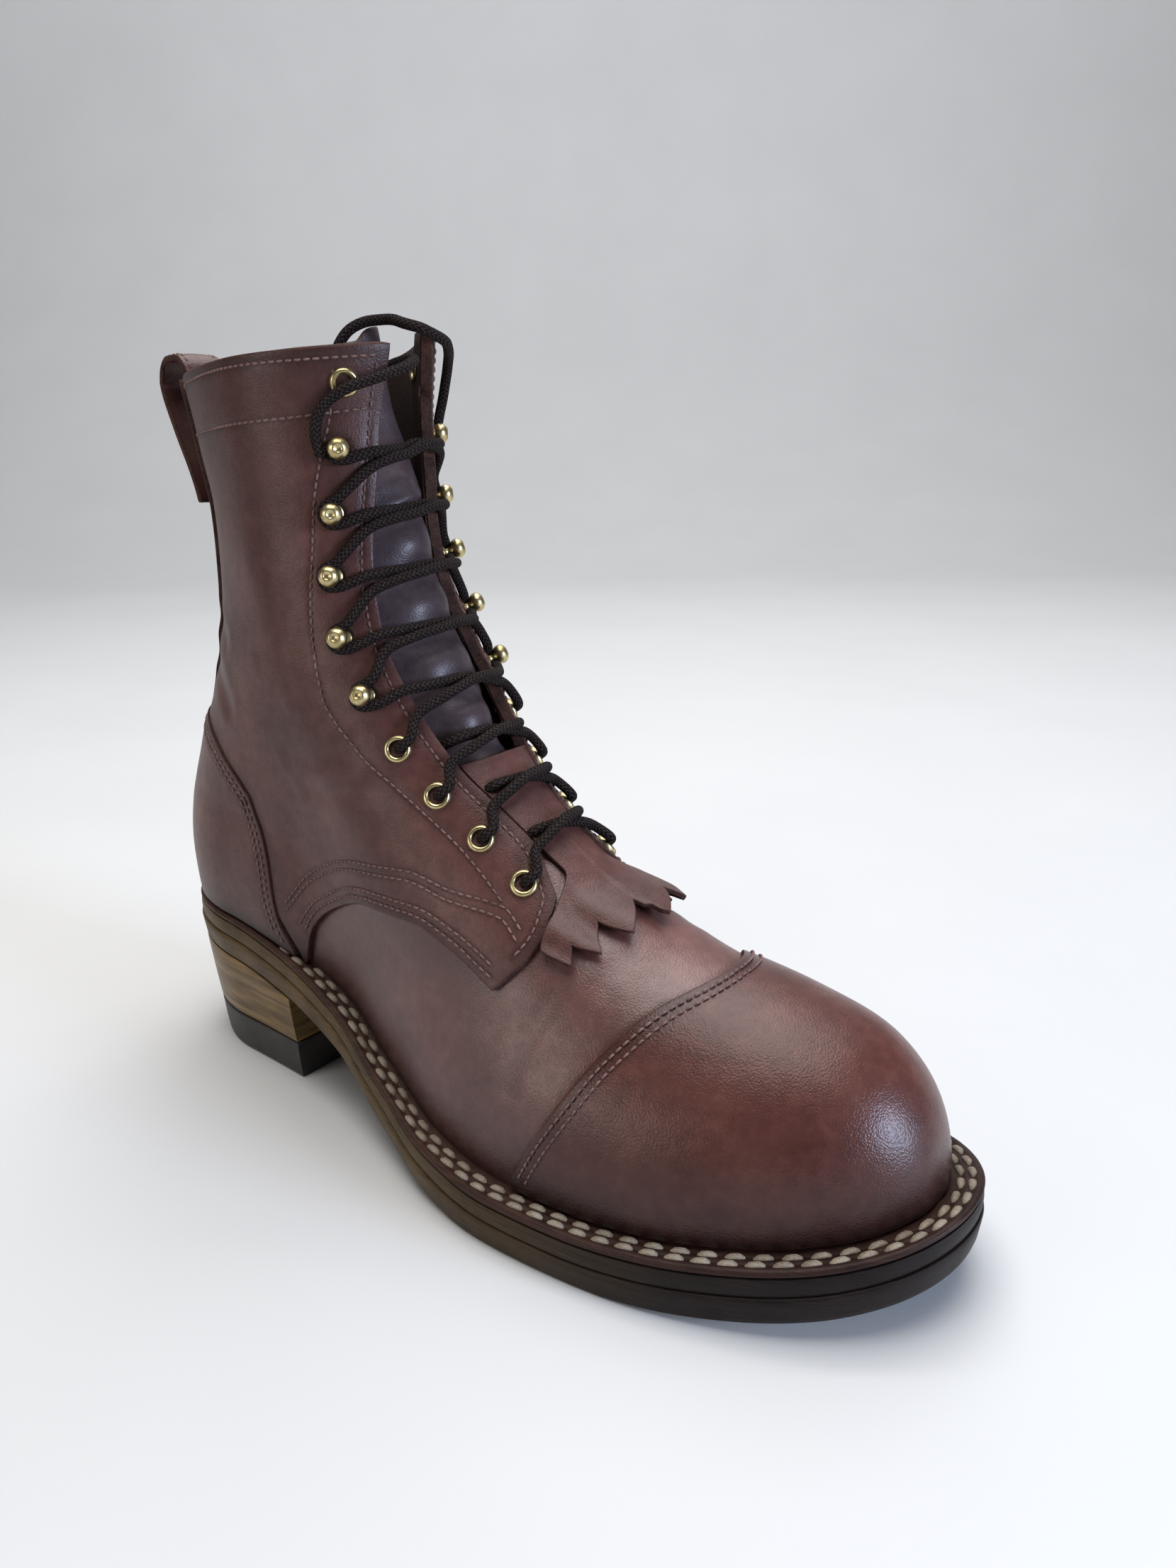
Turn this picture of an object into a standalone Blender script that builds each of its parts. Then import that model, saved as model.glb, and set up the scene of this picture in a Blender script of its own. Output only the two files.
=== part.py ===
"""Right packer boot with stacked heel, kiltie and speed hooks, standing empty on its sole.

The last frame is in millimetres: x runs from the back of the sole to the toe, y to the inner
side of the foot, z up from the floor. The objects are in metres, under one empty that puts
the middle of the boot's footprint at the world origin.
"""
import math

import bmesh
import bpy
import numpy as np
from mathutils import Matrix, Vector

MM = 0.001

# Sole and heel
LENGTH = 315.0
SOLE_THICKNESS = 17.0
FLANGE_THICKNESS = 2.2
MIDSOLE_THICKNESS = 5.6
HEEL_ROUND = 45.0
TOE_ROUND = 95.0
TOE_POWER = 2.1
HEEL_BREAST = 79.0
HEEL_TAPER = 6.0
TOPLIFT_THICKNESS = 15.0
INSOLE_THICKNESS = 4.0
SOLE_STATIONS = 32

# Leather
GAP = 0.3
FEATHER_GAP = 0.5
OVERLAY_GAP = 0.55
STRIP_GAP = 0.7
WALL = 2.2
QUARTER_THICKNESS = 1.5
COUNTER_THICKNESS = 2.2
CAP_THICKNESS = 1.6
STRIP_THICKNESS = 1.3
KILTIE_THICKNESS = 1.5
TONGUE_THICKNESS = 2.0

# Upper
HEEL_FLANGE = 4.0
TOE_FLANGE = 11.5
FEATHER_BULGE = 1.8
BULGE_HEIGHT = 45.0
COLLAR_DIP = 1.5
COLLAR_TILT = 4.0
PINCH_BACK = 6.5
PINCH_IN = 4.5
THROAT_ROW = 0.32
FACING_FOOT = 0.372
BACK_STRIP_HALF = 9.0
COUNTER_CLEAR = (1.0, 0.9)
BACK_SEAM = 0.25
PANEL_FOOT = 0.004
SINK = 1.0
SINK_RUN = 4.0

# Lacing
ROWS = 10
ROW_FIRST = 0.342
ROW_LAST = 0.954
HOOK_ROWS = (4, 5, 6, 7, 8)
ROW_SETBACK = 11.5
EYELET_RADIUS = 4.3
EYELET_HOLE = 2.3
EYELET_HEIGHT = 1.2
HOOK_HEAD_RADIUS = 3.3
HOOK_HEIGHT = 7.2
HARDWARE_STEPS = 8
LACE_RADIUS = 1.65
LACE_LIFT = 5.2
KILTIE_TOP = 0.405

# x, half width, centre line, height of the sole's top
SOLE = np.array([
    (0, 33.5, 0.0, 60.0),
    (45, 34.2, -0.3, 57.6),
    (75, 35.2, -0.8, 52.4),
    (105, 36.2, -2.4, 42.0),
    (135, 41.2, -5.2, 28.2),
    (165, 49.3, -6.2, 19.2),
    (195, 55.3, -4.4, 16.4),
    (220, 56.6, -2.0, 16.4),
    (245, 56.6, 0.0, 17.8),
    (268, 56.6, 1.8, 20.4),
    (288, 56.6, 2.8, 23.6),
    (303, 56.6, 3.2, 27.4),
    (315, 56.6, 3.2, 31.6)])

# x, width of the stitched flange outside the upper
FLANGE = np.array([
    (0, 4.0),
    (45, 4.0),
    (75, 5.0),
    (100, 8.5),
    (150, 9.0),
    (195, 9.6),
    (245, 9.6),
    (315, 11.5)])

# share of the way up, x, z along the ridge from toe to collar
FRONT = np.array([
    (0.00, 303.5, 28.0),
    (0.05, 301.0, 45.0),
    (0.09, 293.0, 59.0),
    (0.13, 279.0, 69.0),
    (0.18, 258.0, 74.5),
    (0.23, 236.0, 79.0),
    (0.30, 206.0, 92.0),
    (0.38, 181.0, 111.0),
    (0.46, 160.0, 131.0),
    (0.55, 144.0, 153.0),
    (0.65, 131.5, 178.0),
    (0.76, 125.0, 205.0),
    (0.88, 124.0, 230.0),
    (1.00, 127.5, 256.0)])

# share of the way up, x, z along the back seam from heel to collar
BACK = np.array([
    (0.00, 4.0, 60.3),
    (0.10, 3.8, 78.0),
    (0.20, 5.4, 97.0),
    (0.32, 12.0, 120.0),
    (0.45, 19.5, 146.0),
    (0.60, 24.0, 174.0),
    (0.75, 23.0, 203.0),
    (0.88, 17.5, 226.0),
    (1.00, 11.5, 247.0)])

# height, half width, rounding of the front, rounding of the back, fullness of the back
LEG = np.array([
    (60, 31.5, 60, 40, 0.50),
    (85, 33.0, 60, 42, 0.50),
    (118, 33.5, 58, 52, 0.60),
    (150, 36.0, 50, 76, 0.75),
    (200, 39.0, 46, 94, 0.85),
    (230, 40.0, 46, 100, 0.85),
    (262, 41.0, 46, 106, 0.85)])

# x, squareness of the foot's cross section
FOOT_POWER = np.array([
    (120, 2.0),
    (180, 2.0),
    (230, 2.2),
    (270, 2.4),
    (315, 2.4)])

# share of the way up, distance of the facing edge from the front ridge
FACING = np.array([
    (0.00, 30.0),
    (0.10, 24.0),
    (0.20, 15.0),
    (0.31, 10.5),
    (0.36, 10.8),
    (0.41, 12.5),
    (0.46, 16.0),
    (0.53, 19.0),
    (0.59, 20.5),
    (0.66, 19.5),
    (0.74, 16.5),
    (0.86, 12.5),
    (1.00, 10.0)])

# x, z of the panel edges on the side of the boot
COUNTER_FRONT = ((82.0, 52.0), (76.0, 66.5), (73.6, 87.7), (67.4, 108.0))
COUNTER_TOP = ((14.0, 131.0), (32.0, 130.0), (47.0, 125.5), (59.0, 117.0), (67.4, 108.0))
QUARTER_ARCH = ((86.5, 50.0), (93.0, 65.3), (108.3, 77.2), (130.8, 84.9), (151.2, 85.3),
                (166.7, 80.5), (184.5, 71.9))
QUARTER_NOSE = ((184.5, 71.9), (191.0, 79.5), (194.0, 87.0), (192.0, 96.0), (186.5, 103.5))
CAP_SEAM = ((197.2, 17.5), (205.1, 32.6), (213.9, 47.7), (222.1, 61.8), (231.6, 73.1), (240.5, 78.2))

# share of the way across, share of the step to the next row, along a strand of lace
LACE_CLIMB = np.array([
    (0.0, 0.20),
    (0.2, 0.52),
    (0.5, 0.72),
    (1.0, 0.90)])

# share of the way up, half width of the kiltie
KILTIE = np.array([
    (0.255, 34.0),
    (0.275, 31.0),
    (0.295, 24.5),
    (0.319, 15.5),
    (0.345, 9.0),
    (0.405, 8.0)])

# distance from the front ridge, share of the way up, along the kiltie's toothed edge
KILTIE_EDGE = np.array([
    (-31.0, 0.279),
    (-28.3, 0.262),
    (-23.0, 0.279),
    (-19.6, 0.268),
    (-12.7, 0.294),
    (-9.9, 0.275),
    (-1.5, 0.298),
    (2.0, 0.2755),
    (10.5, 0.291),
    (14.0, 0.2745),
    (19.5, 0.285),
    (23.5, 0.268),
    (27.5, 0.279),
    (30.0, 0.264),
    (31.0, 0.278)])

# distance from the front ridge, how far the kiltie's lower edge stands off
KILTIE_LIFT = np.array([
    (-32.0, 1.0),
    (-26.0, 1.2),
    (-20.0, 0.8),
    (-15.0, 1.6),
    (-9.0, 2.8),
    (2.0, 3.0),
    (12.0, 3.8),
    (20.0, 4.2),
    (32.0, 1.5)])

# share of the way up, how far the tongue lies inside the outer surface of the boot
TONGUE = np.array([
    (0.29, 3.6, 3.6),
    (0.33, 3.2, 3.0),
    (0.42, 2.9, 0.6),
    (0.56, 2.9, 0.0),
    (0.70, 3.4, 0.4),
    (0.78, 3.8, 2.4),
    (0.83, 5.5, 7.5),
    (0.90, 11.0, 13.0),
    (0.99, 17.0, 18.0)])
TONGUE_HALF = 27.0

# x behind the back seam, z along the middle of the pull loop
LOOP_PATH = ((-5.3, 206.0), (-6.6, 218.0), (-9.2, 232.0), (-10.4, 243.0), (-9.4, 250.5),
             (-5.0, 255.4), (0.5, 255.6), (4.5, 252.8), (6.2, 249.8))
LOOP_HALF_WIDTH = 8.0
LOOP_THICKNESS = 2.0

# x, y, z along the middle of the two free lace ends
LACE_END_OUTER = ((116.5, -32.8, 222.0), (115.8, -33.6, 228.0), (116.8, -32.8, 233.5),
                  (119.9, -30.8, 237.6), (125.4, -28.0, 240.8), (129.0, -23.0, 242.8),
                  (131.0, -17.5, 244.6), (131.8, -11.5, 246.6), (130.2, -6.2, 248.4),
                  (126.0, -2.8, 249.4), (120.6, -2.4, 249.0), (115.2, -4.6, 247.2))
LACE_END_INNER = ((110.2, 21.6, 227.9), (111.0, 22.7, 233.2), (112.6, 23.1, 238.6),
                  (115.2, 22.2, 244.2), (119.8, 19.0, 249.6), (125.6, 13.4, 253.2),
                  (129.8, 6.4, 255.6), (129.2, -0.2, 257.8), (123.6, -3.2, 259.7),
                  (117.0, -3.0, 261.3), (111.2, -4.6, 261.2), (106.0, -8.0, 259.3),
                  (102.6, -11.0, 254.2), (101.0, -13.0, 247.4), (100.3, -14.5, 240.0))

COLOURS = {
    "leather": ((0.085, 0.036, 0.027, 1), 0.42, 0.0),
    "dark_leather": ((0.045, 0.026, 0.024, 1), 0.38, 0.0),
    "insole_leather": ((0.22, 0.13, 0.08, 1), 0.70, 0.0),
    "sole_edge": ((0.020, 0.014, 0.011, 1), 0.35, 0.0),
    "heel_leather": ((0.060, 0.043, 0.026, 1), 0.40, 0.0),
    "rubber": ((0.016, 0.014, 0.013, 1), 0.60, 0.0),
    "brass": ((0.72, 0.52, 0.22, 1), 0.22, 1.0),
    "lace": ((0.022, 0.014, 0.011, 1), 0.80, 0.0),
}


def curve(table, column, at):
    """Smooth curve without overshoot through one column of a table whose first column rises."""
    knots = table[:, 0]
    values = table[:, column]
    spans = np.diff(knots)
    slopes = np.diff(values) / spans
    tangents = np.empty_like(values)
    tangents[0] = slopes[0]
    tangents[-1] = slopes[-1]
    before = slopes[:-1]
    after = slopes[1:]
    together = before * after > 0
    mean = np.where(together, 2 * before * after / np.where(together, before + after, 1), 0)
    tangents[1:-1] = mean
    at = np.clip(at, knots[0], knots[-1])
    i = np.clip(np.searchsorted(knots, at, side="right") - 1, 0, len(spans) - 1)
    u = (at - knots[i]) / spans[i]
    rise = u * u * (3 - 2 * u)
    lean = tangents[i] * u * (1 - u) ** 2 - tangents[i + 1] * u * u * (1 - u)
    return values[i] * (1 - rise) + values[i + 1] * rise + spans[i] * lean


def ease(start, end, at):
    """Smooth step from 0 at start to 1 at end."""
    u = np.clip((at - start) / (end - start), 0, 1)
    return u * u * (3 - 2 * u)


def rounded(distance, radius, power=2.0):
    """Rise of a rounded end, from 0 at its tip to 1 one radius away."""
    u = np.clip(1 - distance / radius, 0, 1)
    return (1 - u ** power) ** (1 / power)


def centre(x):
    return curve(SOLE, 2, x)


def sole_top(x):
    return curve(SOLE, 3, x)


def tread(x):
    """Underside of the outsole, flat on the floor under the ball of the foot."""
    return np.maximum(sole_top(x) - SOLE_THICKNESS, 0)


def outline(x, inset, heel_inset, toe_inset):
    """Half width of the sole's outline, moved in by the insets."""
    body = curve(SOLE, 1, x) - inset
    heel = rounded(x - heel_inset, HEEL_ROUND - heel_inset)
    toe = rounded(LENGTH - toe_inset - x, TOE_ROUND - toe_inset, TOE_POWER)
    return body * heel * toe


def feather(x):
    """Height of the line where the upper meets the flange."""
    return sole_top(x) + FEATHER_GAP


FRONT[0, 2] = feather(FRONT[0, 1])
BACK[0, 2] = feather(BACK[0, 1])
RIDGE_STEPS = np.linspace(0, 1, 2001)
RIDGE_X = curve(FRONT, 1, RIDGE_STEPS)
RIDGE_Z = curve(FRONT, 2, RIDGE_STEPS)
SEAM_X = curve(BACK, 1, RIDGE_STEPS)
SEAM_Z = curve(BACK, 2, RIDGE_STEPS)
NARROWEST = int(np.argmin(RIDGE_X))


def crest(x):
    """Height of the front ridge above a place along the foot."""
    return np.interp(x, RIDGE_X[NARROWEST::-1], RIDGE_Z[NARROWEST::-1])


def half_width(x, z):
    """Half width of the boot at a point of its side view."""
    low = feather(x)
    top = np.maximum(crest(x) + 0.02, low + 0.5)
    down = np.clip((top - z) / (top - low), 0, 1)
    foot = np.sqrt(1 - (1 - down) ** curve(FOOT_POWER, 1, x))
    ahead = np.maximum(np.interp(z, RIDGE_Z, RIDGE_X) - x, 0)
    leg = rounded(ahead, curve(LEG, 2, z))
    behind = np.maximum(x - np.interp(z, SEAM_Z, SEAM_X), 0)
    back = np.clip(1 - behind / curve(LEG, 3, z), 0, 1)
    back = (1 - back * back) ** curve(LEG, 4, z)
    toe = rounded(LENGTH - TOE_FLANGE - x, TOE_ROUND - TOE_FLANGE, TOE_POWER)
    bulge = FEATHER_BULGE * np.sin(np.pi * np.clip((z - low) / BULGE_HEIGHT, 0, 1))
    base = curve(SOLE, 1, x) - curve(FLANGE, 1, x) + bulge
    rise = ease(10, 85, z - low) * (1 - ease(150, 215, x))
    width = base * (1 - rise) + curve(LEG, 1, z) * rise
    instep = 1 - ease(135, 205, x)
    return width * back * toe * (foot * (1 - instep) + leg * instep)


def side_view(turn, up):
    """Place in the side view for a turn from the back seam (0) to the ridge (pi) and a share up."""
    s = (1 - np.cos(turn)) / 2
    front = np.stack([curve(FRONT, 1, up), curve(FRONT, 2, up)], -1)
    back = np.stack([curve(BACK, 1, up), curve(BACK, 2, up)], -1)
    x = HEEL_FLANGE + (LENGTH - TOE_FLANGE - HEEL_FLANGE) * s
    low = np.stack([x, feather(x)], -1)
    s = s[..., None]
    up = up[..., None]
    high = BACK[-1, 1:] * (1 - s) + FRONT[-1, 1:] * s
    high = high - np.concatenate([0 * s, COLLAR_DIP * np.sin(np.pi * s)], -1)
    corner_low = BACK[0, 1:] * (1 - s) + FRONT[0, 1:] * s
    corner_high = BACK[-1, 1:] * (1 - s) + FRONT[-1, 1:] * s
    across = back * (1 - s) + front * s
    return across + (low - corner_low) * (1 - up) + (high - corner_high) * up


def skin(turn, up, pinched=1.0):
    """Outer surface of the boot: turn is negative on the outer side, positive on the inner.

    Above the ankle the front of the inner side is drawn back and in by the pinch.
    """
    turn, up = np.broadcast_arrays(np.asarray(turn, float), np.asarray(up, float))
    turn = (turn + np.pi) % (2 * np.pi) - np.pi
    side = np.where(turn < 0, -1.0, 1.0)
    at = side_view(np.abs(turn), up)
    x = at[..., 0]
    y = half_width(x, at[..., 1]) * (np.abs(np.sin(turn)) > 1e-9)
    s = (1 - np.cos(turn)) / 2
    tilt = side * COLLAR_TILT * s ** 2 * up ** 4 * np.abs(np.sin(turn)) ** 0.25
    z = at[..., 1]
    ahead = np.interp(z, RIDGE_Z, RIDGE_X) - x
    pinch = pinched * (side > 0) * ease(138, 208, z) * ease(0, 8, ahead) * (1 - ease(20, 66, ahead))
    y = centre(x) + side * (y - PINCH_IN * pinch)
    return np.stack([x - PINCH_BACK * pinch, y, z + tilt], -1)


def normals(turn, up, pinched=1.0):
    """Outward normals of the skin, level at the feather line."""
    step_turn = 0.03
    step_up = 0.002
    low = np.clip(up - step_up, 0, 1)
    high = np.clip(up + step_up, 0, 1)
    around = skin(turn + step_turn, up, pinched) - skin(turn - step_turn, up, pinched)
    along = skin(turn, high, pinched) - skin(turn, low, pinched)
    n = np.cross(along, around)
    n[..., 2] *= ease(0, 0.06, up)
    return n / np.maximum(np.linalg.norm(n, axis=-1, keepdims=True), 1e-12)


def raised(turn, up, height):
    """Points at a height over the skin."""
    turn, up = np.broadcast_arrays(np.asarray(turn, float), np.asarray(up, float))
    return skin(turn, up) + normals(turn, up) * np.asarray(height, float)[..., None]


def turn_at(x, z):
    """Turn and share up of points of the side view, found by stepping towards them."""
    turn = np.full(np.shape(x), 1.6)
    up = np.full(np.shape(x), 0.3)
    goal = np.stack([x, z], -1)
    h = 1e-4
    for _ in range(40):
        here = side_view(turn, up)
        by_turn = (side_view(turn + h, up) - here) / h
        by_up = (side_view(turn, up + h) - here) / h
        miss = goal - here
        area = by_turn[..., 0] * by_up[..., 1] - by_turn[..., 1] * by_up[..., 0]
        area = np.where(np.abs(area) < 1e-6, 1e-6, area)
        step_turn = (miss[..., 0] * by_up[..., 1] - miss[..., 1] * by_up[..., 0]) / area
        step_up = (by_turn[..., 0] * miss[..., 1] - by_turn[..., 1] * miss[..., 0]) / area
        turn = np.clip(turn + np.clip(step_turn, -0.3, 0.3), 0.01, np.pi - 0.01)
        up = np.clip(up + np.clip(step_up, -0.1, 0.1), 0, 0.995)
    return turn, up


def smooth_path(points, count):
    """Evenly spaced points on a smooth curve through a few points."""
    points = np.asarray(points, float)
    chord = np.linalg.norm(np.diff(points, axis=0), axis=1)
    t = np.concatenate([[0], np.cumsum(chord)])
    table = np.column_stack([t, points])
    fine = np.linspace(0, t[-1], 400)
    path = np.stack([curve(table, k + 1, fine) for k in range(points.shape[1])], -1)
    run = np.concatenate([[0], np.cumsum(np.linalg.norm(np.diff(path, axis=0), axis=1))])
    even = np.linspace(0, run[-1], count)
    return np.stack([np.interp(even, run, path[:, k]) for k in range(points.shape[1])], -1)


def edge_on_skin(points, count):
    """Turn and share up along a panel edge given in the side view, evenly spaced on the skin."""
    path = smooth_path(points, 80)
    turn, up = turn_at(path[:, 0], path[:, 1])
    run = np.linalg.norm(np.diff(skin(turn, up), axis=0), axis=1)
    run = np.concatenate([[0], np.cumsum(run)])
    even = np.linspace(0, run[-1], count)
    return np.stack([np.interp(even, run, turn), np.interp(even, run, up)], -1)


def turn_from_ridge(up, distance):
    """Turn at a distance over the surface of the outer side from the front ridge."""
    turns = np.linspace(np.pi, 1.2, 600)
    points = skin(-turns, np.full_like(turns, up))
    run = np.concatenate([[0], np.cumsum(np.linalg.norm(np.diff(points, axis=0), axis=1))])
    return np.interp(distance, run, turns)


def across_front(distance, up):
    """Signed turn for a signed distance from the front ridge, negative on the outer side."""
    turn = np.array([turn_from_ridge(u, d) for d, u in zip(np.abs(distance), up)])
    return np.where(np.asarray(distance) < 0, -turn, turn)


def patch(low, high, left, right):
    """Grid between four edges that meet at their ends, blended from all of them."""
    u = np.linspace(0, 1, len(low))[:, None, None]
    v = np.linspace(0, 1, len(left))[None, :, None]
    ends = (low[0] * (1 - u) * (1 - v) + low[-1] * u * (1 - v)
            + high[0] * (1 - u) * v + high[-1] * u * v)
    return (low[:, None] * (1 - v) + high[:, None] * v
            + left[None] * (1 - u) + right[None] * u - ends)


for item in list(bpy.data.objects):
    bpy.data.objects.remove(item, do_unlink=True)
boot = bpy.data.collections.new("packer_boot")
bpy.context.scene.collection.children.link(boot)
stand = bpy.data.objects.new("stand", None)
boot.objects.link(stand)


def footprint_middle():
    """Middle of the sole's footprint in the last frame."""
    x = np.linspace(0, LENGTH, 2001)
    half = outline(x, 0.0, 0.0, 0.0)
    return LENGTH / 2, (np.max(centre(x) + half) + np.min(centre(x) - half)) / 2


def material(name):
    made = bpy.data.materials.get(name)
    if made is None:
        colour, roughness, metallic = COLOURS[name]
        made = bpy.data.materials.new(name)
        made.use_nodes = True
        shader = made.node_tree.nodes["Principled BSDF"]
        shader.inputs["Base Color"].default_value = colour
        shader.inputs["Roughness"].default_value = roughness
        shader.inputs["Metallic"].default_value = metallic
    return made


def finish(name, mesh, finish_name):
    """Put a mesh in the boot's collection under the empty that carries it."""
    made = bpy.data.objects.new(name, mesh)
    mesh.materials.append(material(finish_name))
    mesh.shade_smooth()
    mesh.set_sharp_from_angle(angle=math.radians(40))
    boot.objects.link(made)
    made.parent = stand
    return made


def solid(name, finish_name, points, faces):
    """Closed mesh from points in millimetres, with doubled points joined."""
    mesh = bpy.data.meshes.new(name)
    made = bmesh.new()
    verts = [made.verts.new(Vector(p) * MM) for p in points]
    for face in faces:
        made.faces.new([verts[k] for k in face])
    bmesh.ops.remove_doubles(made, verts=made.verts, dist=2e-6)
    bmesh.ops.dissolve_degenerate(made, edges=made.edges, dist=1e-6)
    bmesh.ops.recalc_face_normals(made, faces=made.faces)
    made.to_mesh(mesh)
    made.free()
    return finish(name, mesh, finish_name)


def shell(name, finish_name, outer, inner, cells=None):
    """Solid between two like grids; cells says which squares of the grid are kept."""
    rows, columns = outer.shape[:2]
    if cells is None:
        cells = np.ones((rows - 1, columns - 1), bool)
    number = np.arange(rows * columns).reshape(rows, columns)
    offset = rows * columns
    faces = []
    edges = {}
    for i in range(rows - 1):
        for j in range(columns - 1):
            if not cells[i, j]:
                continue
            ring = [number[i, j], number[i + 1, j], number[i + 1, j + 1], number[i, j + 1]]
            faces.append(ring)
            faces.append([k + offset for k in reversed(ring)])
            for a, b in zip(ring, ring[1:] + ring[:1]):
                edges[(a, b)] = True
    used = sorted({k for face in faces for k in face})
    place = {k: n for n, k in enumerate(used)}
    points = np.concatenate([outer.reshape(-1, 3), inner.reshape(-1, 3)])
    same = {tuple(np.round(points[k], 3)): k for k in reversed(range(offset))}
    joined = {(same[tuple(np.round(points[a], 3))], same[tuple(np.round(points[b], 3))])
              for a, b in edges}
    for a, b in edges:
        pair = (same[tuple(np.round(points[b], 3))], same[tuple(np.round(points[a], 3))])
        if pair not in joined and pair[0] != pair[1]:
            faces.append([b, a, a + offset, b + offset])
    faces = [[place[k] for k in face] for face in faces]
    return solid(name, finish_name, points[used], faces)


def stations(start, end, count, open_end=False):
    """Places along the sole, closer together at its rounded ends."""
    reach = np.pi / 2 if open_end else np.pi
    k = np.linspace(0, reach, count)
    share = 1 - np.cos(k)
    return start + (end - start) * share / share[-1]


def ring(x, inset, heel_inset, toe_inset, height):
    """Closed loop of points round an outline: outer side forward, inner side back."""
    half = outline(x, inset, heel_inset, toe_inset)
    middle = centre(x)
    outer = np.stack([x, middle - half, height(x)], -1)
    inner = np.stack([x, middle + half, height(x)], -1)
    return np.concatenate([outer, inner[::-1]])


def stack(name, finish_name, rings, hollow=False):
    """Solid through rings of equal count; hollow joins the last ring to the first."""
    count = len(rings[0])
    points = np.concatenate(rings)
    faces = []
    levels = len(rings) if hollow else len(rings) - 1
    for level in range(levels):
        a = level * count
        b = (level + 1) % len(rings) * count
        for k in range(count):
            n = (k + 1) % count
            faces.append([a + k, a + n, b + n, b + k])
    if not hollow:
        top = (len(rings) - 1) * count
        for k in range(count // 2 - 1):
            far = count - 1 - k
            faces.append([k, far, far - 1, k + 1])
            faces.append([top + k, top + k + 1, top + far - 1, top + far])
    return solid(name, finish_name, points, faces)


def sole_layer(name, finish_name, levels):
    """Layer of the sole through levels of inset and height function."""
    rings = []
    for inset, height in levels:
        x = stations(inset, LENGTH - inset, SOLE_STATIONS)
        rings.append(ring(x, inset, inset, inset, height))
    return stack(name, finish_name, rings)


def flange_bottom(x):
    return sole_top(x) - FLANGE_THICKNESS


def midsole_top(x):
    return flange_bottom(x) - GAP


def midsole_bottom(x):
    return midsole_top(x) - MIDSOLE_THICKNESS


def add_sole():
    """Flange, midsole, outsole and insole."""
    x = stations(0.8, LENGTH - 0.8, SOLE_STATIONS)
    outer_low = ring(x, 0.8, 0.8, 0.8, flange_bottom)
    x = stations(0.4, LENGTH - 0.4, SOLE_STATIONS)
    outer_mid = ring(x, 0.4, 0.4, 0.4, lambda a: sole_top(a) - 0.9)
    x = stations(1.3, LENGTH - 1.3, SOLE_STATIONS)
    outer_top = ring(x, 1.3, 1.3, 1.3, sole_top)
    hollow = WALL + 0.3
    x = stations(HEEL_FLANGE + hollow, LENGTH - TOE_FLANGE - hollow, SOLE_STATIONS)
    inset = curve(FLANGE, 1, x) + hollow
    inner_top = ring(x, inset, HEEL_FLANGE + hollow, TOE_FLANGE + hollow, sole_top)
    inner_low = ring(x, inset, HEEL_FLANGE + hollow, TOE_FLANGE + hollow, flange_bottom)
    stack("welt", "sole_edge", [outer_low, outer_mid, outer_top, inner_top, inner_low], hollow=True)

    def midsole_mid(x):
        return midsole_top(x) - MIDSOLE_THICKNESS / 2

    sole_layer("midsole", "sole_edge", [
        (1.2, midsole_bottom), (0.3, midsole_mid), (0.9, midsole_top)])

    def outsole_top(x):
        return midsole_bottom(x) - GAP

    def outsole_low(x):
        return tread(x) + 2.0

    sole_layer("outsole", "sole_edge", [
        (2.2, tread), (0.9, outsole_low), (0.0, lambda a: outsole_top(a) - 1.2), (0.7, outsole_top)])

    inner = hollow + 0.9
    x = stations(HEEL_FLANGE + inner, LENGTH - TOE_FLANGE - inner, 26)
    inset = curve(FLANGE, 1, x) + inner
    ends = (HEEL_FLANGE + inner, TOE_FLANGE + inner)
    low = ring(x, inset, *ends, lambda a: midsole_top(a) + GAP)
    high = ring(x, inset, *ends, lambda a: midsole_top(a) + GAP + INSOLE_THICKNESS)
    stack("insole", "insole_leather", [low, high])


def heel_ring(share, height):
    """Ring of the heel block: share runs from 0 at its top to 1 on the floor."""
    inset = 1.2 + HEEL_TAPER * share
    x = stations(inset, HEEL_BREAST - 1.5 * share, 20, open_end=True)
    half = (curve(SOLE, 1, x) - 0.9 - 4.4 * share) * rounded(x - inset, HEEL_ROUND - inset)
    outer = np.stack([x, centre(x) - half, height(x)], -1)
    inner = np.stack([x, centre(x) + half, height(x)], -1)
    return np.concatenate([outer, inner[::-1]])


def add_heel():
    """Stacked heel and its top lift."""

    def heel_top(x):
        return tread(x) - GAP

    def lift_top(x):
        return 0 * x + TOPLIFT_THICKNESS

    def middle(x):
        return (heel_top(x) + lift_top(x)) / 2

    stack("heel_stack", "heel_leather", [
        heel_ring(0.62, lambda a: lift_top(a) + GAP), heel_ring(0.28, middle), heel_ring(0.0, heel_top)])
    stack("heel_toplift", "rubber", [
        heel_ring(1.0, lambda a: 0 * a), heel_ring(0.93, lambda a: 0 * a + 1.5), heel_ring(0.62, lift_top)])


def inner_wall(turn, up, thickness):
    """Both sides of the wall, its inside never past the middle of the boot."""
    outer = skin(turn, up)
    inner = outer - normals(turn, up) * thickness
    middle = centre(outer[..., 0])
    side = np.sign(outer[..., 1] - middle)
    reach = np.abs(outer[..., 1] - middle)
    y = np.maximum(side * (inner[..., 1] - middle), 0.2 * reach) * side
    inner[..., 1] = np.where(reach > 1e-6, middle + y, inner[..., 1])
    return outer, inner


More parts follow.
